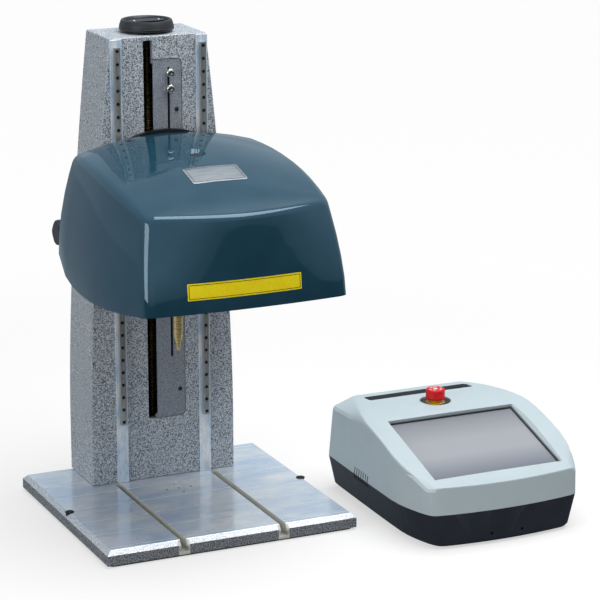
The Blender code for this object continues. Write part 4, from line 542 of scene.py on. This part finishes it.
def copied(piece, name, shift):
    """A copy with its own mesh, moved by a shift in millimetres."""
    made = bpy.data.objects.new(name, piece.data.copy())
    bpy.context.scene.collection.objects.link(made)
    alone(made)
    made.location = [s * mm for s in shift]
    bpy.ops.object.transform_apply(location=True, rotation=False, scale=False)
    return made


def reshaded(piece, degrees):
    """Smooth shading up to an angle, led by the larger faces."""
    smooth(piece, degrees)
    modified(piece, "WEIGHTED_NORMAL", weight=100, keep_sharp=True)


def refined(node, name, degrees, flatten=False):
    """A copy of a CAD node, merged and shaded, with its flat faces made whole if that is asked."""
    made = bpy.data.objects.new(name, nodes[node].data.copy())
    bpy.context.scene.collection.objects.link(made)
    edit(made)
    bpy.ops.mesh.select_all(action="SELECT")
    bpy.ops.mesh.remove_doubles(threshold=0.005 * mm)
    if flatten:
        bpy.ops.mesh.dissolve_limited(angle_limit=math.radians(0.5))
    done()
    reshaded(made, degrees)
    return made


def upright_rounded(name, low, high, radius, segments):
    """A block whose four upright edges are rounded."""
    piece = block(name, low, high, 0.0)
    edit(piece, "EDGE")
    done()
    for edge in piece.data.edges:
        start, end = (piece.data.vertices[v].co for v in edge.vertices)
        edge.select = abs(start.z - end.z) > mm
    bpy.ops.object.mode_set(mode="EDIT")
    bpy.ops.mesh.bevel(offset=radius * mm, segments=segments, affect="EDGES")
    done()
    return piece


def cut(piece, tool, operation="DIFFERENCE"):
    """A boolean with a tool, which is then removed."""
    modified(piece, "BOOLEAN", object=tool, operation=operation, solver="EXACT")
    bpy.data.objects.remove(tool)


# Pieces that stand for CAD nodes with their shape kept

shells = (
    # node, smoothing angle, material, slot
    ("head_cover", 42.0, petrol_gel_coat, "cover_gloss_blue_green"),
    ("console_shell", 20.0, abs_pale, "shell_blue_grey"),
    ("console_tub", 20.0, abs_slate, "tub_slate"),
)
cover, shell, _ = [keep(refined(node, node + "_skin", degrees), body_of_node[node], slot, look, node)
                   for node, degrees, look, slot in shells]

# The console's grip slot is a hand wide: its rear wall moves back, behind a solid filler under the skin.
filler_half, opening_half, opening_corner = 96.0, 91.0, 7.0
cut(shell, block("grip_filler", (console_middle - filler_half, -38.2, 124.75),
                 (console_middle + filler_half, -21.0, 148.4), 0.0), "UNION")
cut(shell, upright_rounded("grip_opening", (console_middle - opening_half, -46.0, 127.9),
                           (console_middle + opening_half, -25.0, 160.0), opening_corner, 8))
edit(shell)
bpy.ops.mesh.select_all(action="SELECT")
bpy.ops.mesh.remove_doubles(threshold=0.005 * mm)
bpy.ops.mesh.customdata_custom_splitnormals_clear()
done()
reshaded(shell, 20.0)
shell.data.materials.clear()
shell.data.materials.append(abs_pale)


# The cover's top lies above this height; its dimple has this middle and radius, and the shading round it
# blends out between two radii.
skin_floor, top_facing = 560.0, 0.8
dimple_middle, dimple_reach, blend_from, blend_to = (2.0, -51.0), 13.0, 34.0, 58.0


def even_shading(piece, middle, hole, inner, outer):
    """Smooth shading round a hole in a domed skin. The long thin faces about it take their normals from a
    quadratic dome laid through the skin, and blend into the skin's own between two radii in millimetres."""
    mesh = piece.data
    places = numpy.array([vertex.co[:] for vertex in mesh.vertices])
    own = numpy.array([corner.vector[:] for corner in mesh.corner_normals])
    loop_vertex = numpy.array([loop.vertex_index for loop in mesh.loops])
    upward = numpy.zeros(len(mesh.loops), bool)
    for face in mesh.polygons:
        upward[list(face.loop_indices)] = face.normal.z > top_facing and face.center.z > skin_floor * mm
    away = numpy.hypot(places[:, 0] - middle[0] * mm, places[:, 1] - middle[1] * mm)
    on_top = numpy.zeros(len(places), bool)
    on_top[loop_vertex[upward]] = True
    fitted = on_top & (away > hole * mm) & (away < outer * mm)
    x, y, z = ((places[fitted, axis] - (middle[axis] * mm if axis < 2 else 0.0)) for axis in range(3))
    terms = numpy.stack([numpy.ones_like(x), x, y, x * x, x * y, y * y], axis=1)
    dome = numpy.linalg.lstsq(terms, z, rcond=None)[0]
    x, y = (places[loop_vertex, axis] - middle[axis] * mm for axis in range(2))
    slope = numpy.stack([-(dome[1] + 2 * dome[3] * x + dome[4] * y),
                         -(dome[2] + dome[4] * x + 2 * dome[5] * y), numpy.ones_like(x)], axis=1)
    slope /= numpy.linalg.norm(slope, axis=1)[:, None]
    share = numpy.clip((outer * mm - away[loop_vertex]) / ((outer - inner) * mm), 0.0, 1.0)[:, None]
    share[~upward] = 0.0
    mixed = own * (1.0 - share) + slope * share
    mixed /= numpy.linalg.norm(mixed, axis=1)[:, None]
    mesh.normals_split_custom_set(mixed.tolist())


even_shading(cover, dimple_middle, dimple_reach, blend_from, blend_to)


# Handwheel: dished, with a grip groove round its rim, and a bar across its hollow held by two small screws

wheel_middle = (0.0, 137.0, 0.0)
wheel_profile = (
    (14.0, 724.4), (14.0, 727.1), (39.4, 727.1), (41.4, 727.9), (42.0, 729.2), (42.0, 731.6), (41.5, 732.1),
    (41.5, 732.7), (41.8, 733.1), (40.6, 737.2), (39.3, 741.2), (38.6, 742.5), (37.4, 743.1), (36.0, 743.0),
    (34.6, 742.2), (33.6, 740.4), (33.1, 739.1), (31.0, 738.95), (0.05, 738.95),
)
keep(turned("handwheel_rim", wheel_middle, wheel_profile, 96), "drive_screw", "black_plastic", nylon_black,
     "handwheel")
bar_low, bar_high = (-29.0, 125.0, 739.2), (29.0, 149.0, 741.6)
bar = upright_rounded("handwheel_bar", bar_low, bar_high, 11.5, 10)
modified(bar, "BEVEL", width=0.5 * mm, segments=2, limit_method="ANGLE", angle_limit=math.radians(50))
smooth(bar)
keep(bar, "drive_screw", "black_anodised", anodised_black, "handwheel_insert")
small_screw = ((2.0, -0.6), (2.0, 0.2), (1.8, 0.42), (0.9, 0.46), (0.8, 0.1), (0.05, 0.1))
bar_screws = [turned("bar_screw", (x, wheel_middle[1], bar_high[2] - 0.05), small_screw, 20)
              for x in (-20.0, 20.0)]
keep(joined("handwheel_bar_screws", bar_screws), "drive_screw", "bright_nickel", nickel_bright)


# Lead screw: a trapezoidal thread drawn round its core

thread_start, thread_pitch, thread_turns, thread_steps = 88.0, 4.0, 152, 14
core_radius, ridge_radius = 6.5, 1.45
core_profile = ((6.0, 60.0), (6.0, 86.0), (core_radius, 86.1), (core_radius, 701.8), (6.0, 701.9),
                (6.0, 735.8))
core = turned("lead_screw_threaded", wheel_middle, core_profile, 24)
bpy.ops.object.select_all(action="DESELECT")
bpy.ops.mesh.primitive_circle_add(vertices=4, radius=ridge_radius * mm, rotation=(math.pi / 2, 0.0, 0.0),
                                  location=(0.0, wheel_middle[1] * mm, thread_start * mm))
thread = bpy.context.object
bpy.ops.object.transform_apply(location=False, rotation=True, scale=False)
bpy.ops.object.mode_set(mode="EDIT")
bpy.ops.mesh.select_all(action="SELECT")
bpy.ops.transform.translate(value=(core_radius * mm, 0.0, 0.0))
done()
modified(thread, "SCREW", axis="Z", angle=math.tau, screw_offset=thread_pitch * mm, iterations=thread_turns,
         steps=thread_steps, render_steps=thread_steps)
settle(thread)
smooth(thread, 50.0)
keep(joined("lead_screw_threaded", [core, thread]), "drive_screw", "dark_steel", steel_greased, "lead_screw")


# Limit screws: a spacer and a low round head with its socket, in bright nickel

limit_profile = (
    (1.7, -9.3), (1.7, 0.0), (4.2, 0.0), (4.2, 4.9), (6.1, 5.0), (6.6, 5.5), (6.6, 8.4), (6.2, 9.7),
    (5.3, 10.6), (4.0, 11.0), (2.7, 11.0), (2.5, 8.4), (0.05, 8.4),
)
limit_x, limit_face = 16.55, 90.1
for name, height in (("upper", 667.4), ("lower", 643.3)):
    screw = turned("limit_cap_screw_" + name, (limit_x, limit_face, height), limit_profile, 40, axis="-Y")
    keep(screw, body_of_node["limit_screw_" + name], "bright_nickel", nickel_bright, "limit_screw_" + name)


# Rows of small screws: rails, opening cover, back plate and rear panel

rail_x, rail_face, first_hole, hole_pitch, rail_holes = 69.4, 79.3, 126.2, 20.0, 30
rail_screw_profile = ((2.5, -2.6), (2.5, -0.9), (2.3, -0.7), (1.3, -0.7), (1.2, -1.8), (0.05, -1.8))
for side, name in ((-1, "left"), (1, "right")):
    first = turned("rail_screw", (side * rail_x, rail_face, first_hole), rail_screw_profile, 12, axis="-Y")
    row = [first] + [copied(first, "rail_screw", (0.0, 0.0, hole_pitch * step))
                     for step in range(1, rail_holes)]
    keep(joined("rail_screws_" + name, row), "machine_frame", "dark_steel", steel_dark)

button_profile = ((2.0, -1.5), (2.0, 0.0), (3.3, 0.05), (3.3, 0.6), (2.8, 1.5), (1.9, 1.85), (1.5, 1.85),
                  (1.4, 0.8), (0.05, 0.8))
sheet_screw_x, sheet_face = 29.0, 90.4
plate_screws = [turned("plate_screw", (sheet_screw_x, sheet_face, z), button_profile, 24, axis="-Y")
                for z in (165.5, 610.0)]
keep(joined("opening_cover_screws", plate_screws), "machine_frame", "dark_steel", steel_dark)

back_plate_face = 67.3
cap_profile = ((1.5, -3.0), (1.5, 0.0), (2.75, 0.05), (2.75, 2.7), (2.5, 3.0), (1.45, 3.0), (1.4, 1.5),
               (0.05, 1.5))
first = turned("carriage_screw", (0.0, back_plate_face, 0.0), cap_profile, 16, axis="-Y")
places = [(x, z) for x in (-76.4, -62.4, 62.4, 76.4) for z in (425.4, 441.4, 527.4, 543.4)]
row = [copied(first, "carriage_screw", (x, 0.0, z)) for x, z in places]
bpy.data.objects.remove(first)
keep(joined("carriage_screws", row), "head", "dark_steel", steel_dark)

sheet = refined("rear_panel", "rear_sheet", 30.0, flatten=True)
rear_face = 192.0
sink_profile = ((4.6, -1.2), (4.6, 3.0))
rear_places = [(x, z) for z, half in ((45.0, 106.0), (265.0, 98.0), (485.0, 82.0), (704.0, 66.0))
               for x in (-half, half)]
sinks = joined("rear_sinks", [turned("rear_sink", (x, rear_face, z), sink_profile, 24, axis="Y")
                              for x, z in rear_places])
cut(sheet, sinks)
edit(sheet)
bpy.ops.mesh.select_all(action="SELECT")
bpy.ops.mesh.customdata_custom_splitnormals_clear()
bpy.ops.mesh.faces_shade_flat()
done()
keep(sheet, "machine_frame", "hammertone_grey", hammertone_cover, "rear_panel")
rear_profile = ((3.9, -1.1), (4.2, -0.8), (4.2, -0.5), (3.4, -0.1), (1.9, 0.0), (1.8, -0.7), (0.05, -0.7))
rear_row = [turned("rear_screw", (x, rear_face - 0.1, z), rear_profile, 24, axis="Y") for x, z in rear_places]
keep(joined("rear_panel_screws", rear_row), "machine_frame", "dark_steel", steel_dark)


# Edge plugs: moulded rubber bungs pressed into the holes at the base plate's edges, under low domed heads

bung_profile = ((5.7, 11.9), (5.7, 25.03), (7.0, 25.05), (7.15, 25.5), (6.4, 26.3), (4.2, 26.75),
                (0.05, 26.85))
bung_x, bung_y = 192.0, -6.0
for side, name in ((-1, "left"), (1, "right")):
    bung = turned("edge_bung_" + name, (side * bung_x, bung_y, 0.0), bung_profile, 40)
    keep(bung, "machine_frame", "black_rubber", rubber_black, "edge_plug_" + name)


# Stylus: turned brass with two witness grooves and a clamped collar, and its hardened pin

stylus_place = (-42.4, -84.0, 0.0)
stylus_profile = (
    (1.4, 283.0), (2.4, 283.1), (2.6, 283.4), (2.6, 286.2), (2.9, 286.6), (3.2, 292.9), (3.3, 293.5),
    (6.2, 303.3), (6.5, 304.2), (6.5, 309.6), (6.1, 310.0), (6.1, 310.8), (6.5, 311.2), (6.5, 336.0),
    (6.1, 336.4), (6.1, 337.2), (6.5, 337.6), (6.5, 443.7), (9.1, 443.8), (9.5, 444.3), (9.5, 447.6),
    (9.1, 448.0), (9.1, 449.2), (9.5, 449.6), (9.5, 453.2), (9.1, 453.7), (6.5, 453.7), (6.5, 497.4),
    (6.0, 498.0),
)
keep(turned("stylus_holder", stylus_place, stylus_profile, 48), "saddle", "brass", brass_turned,
     "stylus_body")
pin_profile = ((0.3, 271.5), (0.75, 272.6), (1.1, 274.5), (1.1, 313.0))
keep(turned("stylus_needle", stylus_place, pin_profile, 24), "striker", "rail_steel", nickel_bright,
     "stylus_pin")


# Stop button: a twist-release mushroom head with printed arrows, its yellow seat and a brown black collar
# whose colour is painted shade in its well

stop_place = (console_middle, -96.0, 0.0)
stop_profile = (
    (10.6, 158.8), (12.6, 158.4), (13.6, 156.9), (14.7, 156.6), (15.3, 157.5), (15.3, 160.0), (14.95, 160.7),
    (14.9, 168.4), (15.1, 169.7), (14.7, 171.2), (13.7, 172.1), (12.2, 172.45), (10.6, 172.3), (8.0, 172.15),
    (0.05, 172.1),
)
keep(turned("stop_mushroom_head", stop_place, stop_profile, 72), "stop_mushroom", "stop_red", stop_red,
     "stop_head")
seat_profile = ((6.9, 148.5), (14.6, 148.5), (14.6, 151.0), (14.0, 151.6), (12.6, 151.7), (11.6, 151.0),
                (6.9, 150.8), (6.9, 148.5))
keep(turned("stop_seat", stop_place, seat_profile, 64, hollow=True), "machine_frame", "stop_yellow",
     stop_yellow, "stop_ring")
# Painted shade: the dark collar stands for the shadow inside the button's well.
collar_profile = ((14.9, 148.5), (23.9, 148.5), (23.9, 150.4), (23.5, 150.8), (21.6, 150.9), (18.4, 150.4),
                  (14.9, 150.4), (14.9, 148.5))
keep(turned("stop_collar", stop_place, collar_profile, 64, hollow=True), "machine_frame", "black_plastic",
     collar_painted_shade)

# The print on the head: its height and thickness, then three arrows round a dot, each by radius and width.
mark_height, mark_rise = 172.12, 0.16
arrow_count, arrow_radius, arrow_width, arrow_sweep = 3, 9.2, 2.0, math.radians(72)
dot_radius, dot_width = 2.1, 3.4


def printed_arc(radius, width, start, sweep):
    """A flat band spun round the stop button's axis, with an arrow head at its end unless it closes."""
    bpy.ops.object.select_all(action="DESELECT")
    first_cut, head_share = 0.05, 1.3
    x, y = stop_place[0] + radius, stop_place[1]
    bpy.ops.mesh.primitive_plane_add(size=1.0, location=(x * mm, y * mm, mark_height * mm))
    arc = bpy.context.object
    arc.scale = (width * mm, first_cut * mm, 1.0)
    bpy.ops.object.transform_apply(location=True, rotation=True, scale=True)
    bpy.ops.object.mode_set(mode="EDIT")
    bpy.ops.mesh.select_all(action="SELECT")
    centre = (stop_place[0] * mm, stop_place[1] * mm, mark_height * mm)
    bpy.ops.mesh.spin(steps=12, angle=sweep, center=centre, axis=(0.0, 0.0, 1.0))
    bpy.ops.mesh.select_all(action="SELECT")
    bpy.ops.mesh.remove_doubles(threshold=0.005 * mm)
    done()
    parts = [arc]
    if sweep < math.tau - 0.1:
        bpy.ops.object.select_all(action="DESELECT")
        bpy.ops.mesh.primitive_circle_add(vertices=3, radius=width * head_share * mm, fill_type="NGON",
                                          location=(x * mm, (y - 0.5 * width) * mm, mark_height * mm),
                                          rotation=(0.0, 0.0, math.pi))
        head = bpy.context.object
        bpy.ops.object.transform_apply(location=True, rotation=True, scale=True)
        parts.append(head)
    made = joined("stop_mark", parts)
    turned_by(made, stop_place, start)
    modified(made, "SOLIDIFY", thickness=mark_rise * mm, offset=1.0)
    return made


def turned_by(piece, place, angle):
    """Turns a piece about an upright line through a place, and puts the turn into its mesh."""
    alone(piece)
    centre = Vector([p * mm for p in place])
    cosine, sine = math.cos(angle), math.sin(angle)
    piece.rotation_euler = (0.0, 0.0, angle)
    piece.location = (centre.x - cosine * centre.x + sine * centre.y,
                      centre.y - sine * centre.x - cosine * centre.y, 0.0)
    bpy.ops.object.transform_apply(location=True, rotation=True, scale=True)


marks = [printed_arc(arrow_radius, arrow_width, math.tau * step / arrow_count, arrow_sweep)
         for step in range(arrow_count)]
marks.append(printed_arc(dot_radius, dot_width, 0.0, math.tau))
keep(joined("stop_arrows", marks), "stop_mushroom", "stop_red", print_white)


# Badge place and label place on the cover, both bare, laid on its skin

above_cover, before_cover = 0.70, -0.40


def laid_plate(name, low, high, corner, facing, thickness, sink, cells):
    """A thin plate with round corners, cut into cells and pressed onto the cover along one axis."""
    bpy.ops.object.select_all(action="DESELECT")
    middle = [(a + b) / 2 * mm for a, b in zip(low, high)]
    if facing == "Z":
        place, turn = (middle[0], middle[1], above_cover), (0.0, 0.0, 0.0)
    else:
        place, turn = (middle[0], before_cover, middle[1]), (math.pi / 2, 0.0, 0.0)
    bpy.ops.mesh.primitive_plane_add(size=1.0, location=place, rotation=turn)
    piece = bpy.context.object
    piece.name = name
    piece.scale = ((high[0] - low[0]) * mm, (high[1] - low[1]) * mm, 1.0)
    bpy.ops.object.transform_apply(location=True, rotation=True, scale=True)
    bpy.ops.object.mode_set(mode="EDIT")
    bpy.ops.mesh.select_all(action="SELECT")
    if corner:
        bpy.ops.mesh.bevel(offset=corner * mm, segments=6, affect="VERTICES")
    for axis, count in enumerate(cells):
        normal = [(1.0, 0.0, 0.0), (0.0, 1.0, 0.0) if facing == "Z" else (0.0, 0.0, 1.0)][axis]
        for step in range(1, count):
            along = (low[axis] + (high[axis] - low[axis]) * step / count) * mm
            bpy.ops.mesh.select_all(action="SELECT")
            bpy.ops.mesh.bisect(plane_co=[n * along for n in normal], plane_no=normal)
    done()
    modified(piece, "SHRINKWRAP", target=cover, wrap_method="PROJECT", use_project_z=facing == "Z",
             use_project_y=facing == "Y", use_negative_direction=True, use_positive_direction=facing == "Y")
    piece.location = (0.0, 0.0, -sink * mm) if facing == "Z" else (0.0, sink * mm, 0.0)
    alone(piece)
    bpy.ops.object.transform_apply(location=True, rotation=True, scale=True)
    modified(piece, "SOLIDIFY", thickness=(thickness + sink) * mm, offset=1.0)
    return piece


badge_low, badge_high, badge_cells = (-42.0, -149.0), (44.0, -103.0), (14, 8)
badge = laid_plate("badge_plate", badge_low, badge_high, 4.0, "Z", 1.0, 0.2, badge_cells)
modified(badge, "BEVEL", width=0.45 * mm, segments=3, limit_method="ANGLE", angle_limit=math.radians(50))
smooth(badge, 40.0)
keep(badge, "head", "bright_nickel", badge_foil)
line_width, line_inset = 0.9, 3.4


def framed(name, low, high, inset, width, facing, thickness, cells):
    """A thin line round the inside of a plate, laid as four strips."""
    a, b = [v + inset for v in low], [v - inset for v in high]
    strips = (((a[0], a[1]), (b[0], a[1] + width)), ((a[0], b[1] - width), (b[0], b[1])),
              ((a[0], a[1] + width), (a[0] + width, b[1] - width)),
              ((b[0] - width, a[1] + width), (b[0], b[1] - width)))
    made = []
    for start, end in strips:
        counts = (cells[0], 1) if end[0] - start[0] > end[1] - start[1] else (1, cells[1])
        made.append(laid_plate(name, start, end, 0.0, facing, thickness, 0.0, counts))
    return joined(name, made)


keep(framed("badge_line", badge_low, badge_high, line_inset, line_width, "Z", 1.06, badge_cells), "head",
     "dark_steel", steel_dark)
label_low, label_high, label_cells = (-95.0, 404.5), (80.0, 428.5), (28, 4)
keep(laid_plate("yellow_label", label_low, label_high, 0.8, "Y", 0.22, 0.05, label_cells), "head",
     "stop_yellow", vinyl_yellow)
keep(framed("yellow_label_line", label_low, label_high, 2.0, 0.8, "Y", 0.30, label_cells), "head",
     "black_plastic", vinyl_black)


# Two low screws at the cover's rear corners

corner_x, corner_y, corner_sink = 64.0, 47.0, 0.2
for side, name in ((-1, "left"), (1, "right")):
    x, y = side * corner_x, corner_y
    point = cover.ray_cast(Vector((x * mm, y * mm, 0.8)), Vector((0.0, 0.0, -1.0)))[1]
    screw = turned("cover_corner_screw_" + name, (x, y, point.z / mm - corner_sink),
                   ((5.2, -1.5), (5.2, 0.3), (4.9, 0.8), (3.2, 1.1), (2.2, 1.1), (2.0, 0.2), (0.05, 0.2)), 32)
    keep(screw, "head", "dark_steel", steel_dark)


# Cover screw in the dimple: a wide flat head with a driver socket, in black nylon whose black is partly
# painted shade for the dimple

keep(turned("cover_cap_screw", (*dimple_middle, 0.0),
            ((3.6, 560.2), (3.6, 564.3), (9.1, 564.4), (9.5, 564.8), (9.5, 567.2), (8.9, 568.2), (7.0, 568.8),
             (3.2, 568.8), (3.0, 566.2), (0.05, 566.2)), 48),
     "head", "black_plastic", nylon_black, "cover_screw")


# Pins inside the power inlet and the head socket

pin_blocks = [block("inlet_pin", (x - 1.0, -6.2, z - 2.0), (x + 1.0, 4.0, z + 2.0), 0.4)
              for x, z in ((293.6, 28.6), (300.5, 31.8), (307.4, 28.6))]
keep(joined("inlet_pins", pin_blocks), "machine_frame", "bright_nickel", nickel_bright)
socket_x, socket_z, pin_circle, pin_count = 452.0, 30.0, 4.2, 5
socket_pins = []
for step in range(pin_count):
    angle = math.tau * (step + 0.5) / pin_count
    place = (socket_x + pin_circle * math.cos(angle), 0.2, socket_z + pin_circle * math.sin(angle))
    socket_pins.append(turned("socket_pin", place, ((0.8, 0.0), (0.8, 7.0), (0.4, 7.8)), 12, axis="Y"))
keep(joined("socket_pins", socket_pins), "machine_frame", "brass", brass_turned)


# CAD nodes that keep their shape and take a better material

carried = {
    "base_mat": rubber_black, "base_plate": aluminium_plate, "column": hammertone_steel,
    "opening_cover": hammertone_cover, "rail_strip_left": aluminium_pad, "rail_strip_right": aluminium_pad,
    "rail_left": rail_ground, "rail_right": rail_ground, "upper_bearing": anodised_black,
    "lower_bearing": aluminium_milled, "limit_block": anodised_black, "head_back_plate": anodised_black,
    "nut_bracket": aluminium_milled, "lead_nut": bronze_cast, "lock_block": steel_dark,
    "lock_knob": nylon_black, "lock_stud": steel_zinc, "head_frame": anodised_black,
    "guide_rod_left": nickel_bright, "guide_rod_right": nickel_bright, "stage_screw_y": steel_zinc,
    "stage_bridge": aluminium_milled, "cross_rod_front": nickel_bright, "cross_rod_rear": nickel_bright,
    "stage_screw_x": steel_zinc, "stage_saddle": aluminium_milled,
    "screen_panel": screen_glass, "screen_frame": nylon_black,
    "stop_stem": stop_yellow, "stop_contact_block": nylon_black,
    "power_entry": nylon_black, "power_rocker": nylon_black, "head_socket": nylon_black,
}
for node in nodes:
    if node.startswith("console_foot"):
        carried[node] = rubber_black
# Stepper motors: die-cast end caps and a dark stack of laminations.
for node, axis, at, cap in (("stage_motor_y", "Y", 1, 7.0), ("stage_motor_x", "X", 0, 5.0)):
    low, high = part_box(node)
    carried[node] = banded(node + "_laminations", axis, low[at], high[at], cap, "#b3b6b9", "#2a2b2e", 0.8)
# Carriages: a ground steel block between moulded end seals.
for node in nodes:
    if node.startswith("carriage"):
        low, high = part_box(node)
        carried[node] = banded(node + "_seals", "Z", low.z, high.z, 4.5, "#1d2f4a", "#a5a9ac", 0.6)
for node, look in carried.items():
    nodes[node].data.materials.clear()
    nodes[node].data.materials.append(look)


# Studio: a pale floor, a soft overhead box, a soft side light

def lit(tree, factor, plain, special):
    """A plain strength, or the special one where the factor says so."""
    return add(tree, "ShaderNodeMix", {mix_low: plain}, {0: factor, mix_high: special}).outputs[0]


floor_reach, floor_drop = 30.0, 0.0005
# What glossy surfaces mirror is a little cooler than the white that the camera sees.
cool_studio = "#cfdfec"
# The paper's own tone shows near the object, and clears to white between two distances from it.
clearing, clearing_levels = (0.5, 1.7), (0.58, 0.97)
# In a mirror the floor before the object is dim and the floor behind it is lit.
floor_turn, floor_levels = (-0.5, 0.2), (0.05, 0.50)
# In a mirror the room is dim ahead and low down, brighter behind and above the horizon, and white overhead.
rear_turn, rear_levels = (-0.6, 0.3), (0.0, 0.62)
horizon_turn, horizon_levels = (-0.12, 0.20), (0.05, 0.80)
overhead_turn = (0.45, 0.9)
room_light = 0.34

bpy.ops.object.select_all(action="DESELECT")
bpy.ops.mesh.primitive_plane_add(size=floor_reach, location=(0.0, 0.0, -floor_drop))
floor = bpy.context.object
floor.name = "studio_floor"
bpy.ops.object.transform_apply(location=True, rotation=True, scale=True)
floor_paper, tree, place = blank("matt_white_paper")
rays = add(tree, "ShaderNodeLightPath")
seen, mirrored = rays.outputs["Is Camera Ray"], rays.outputs["Is Glossy Ray"]
away = add(tree, "ShaderNodeVectorMath", {"operation": "LENGTH"}, {0: place}).outputs["Value"]
lift = ranged(tree, away, *clearing, *clearing_levels, "SMOOTHSTEP")
near = ranged(tree, axes(tree, place)[1], *floor_turn, *floor_levels, "SMOOTHSTEP")
strength = lit(tree, mirrored, 1.0, near)
paper = add(tree, "ShaderNodeBsdfDiffuse", None, {"Color": between(tree, seen, "#a8a8aa", "#ffffff")})
glow = add(tree, "ShaderNodeEmission", None, {"Color": between(tree, mirrored, "#ffffff", cool_studio),
                                              "Strength": strength})
share = reckon(tree, "MAXIMUM", mirrored, reckon(tree, "MULTIPLY", seen, lift))
shown(tree, add(tree, "ShaderNodeMixShader", None, {0: share, 1: paper.outputs[0], 2: glow.outputs[0]}))
floor.data.materials.append(floor_paper)

world = bpy.data.worlds.new("soft_studio")
bpy.context.scene.world = world
world.use_nodes = True
tree = world.node_tree
tree.nodes.clear()
rays = add(tree, "ShaderNodeLightPath")
mirrored = rays.outputs["Is Glossy Ray"]
seen = reckon(tree, "MAXIMUM", rays.outputs["Is Camera Ray"], rays.outputs["Is Transmission Ray"])
x, y, z = axes(tree, add(tree, "ShaderNodeTexCoord").outputs["Generated"])
studio = reckon(tree, "MAXIMUM", ranged(tree, y, *rear_turn, *rear_levels, "SMOOTHSTEP"),
                ranged(tree, z, *horizon_turn, *horizon_levels))
studio = reckon(tree, "MAXIMUM", studio, ranged(tree, z, *overhead_turn, kind="SMOOTHSTEP"))
strength = reckon(tree, "MAXIMUM", seen, lit(tree, mirrored, room_light, studio))
sky = add(tree, "ShaderNodeBackground", None,
          {"Color": between(tree, mirrored, "#ffffff", cool_studio), "Strength": strength})
add(tree, "ShaderNodeOutputWorld", None, {"Surface": sky.outputs[0]})


def soft_box(name, place, target, size, watts):
    """A square soft light that faces a target."""
    data = bpy.data.lights.new(name, "AREA")
    data.shape, data.size, data.energy = "SQUARE", size, watts
    lamp = bpy.data.objects.new(name, data)
    lamp.location = place
    lamp.rotation_euler = (Vector(target) - Vector(place)).to_track_quat("-Z", "Y").to_euler()
    bpy.context.scene.collection.objects.link(lamp)


object_middle = (0.1, -0.1, 0.3)
soft_box("side_box", (-2.4, -1.0, 1.0), object_middle, 1.2, 16.0)
soft_box("overhead_box", (0.6, -0.4, 2.7), object_middle, 2.2, 66.0)
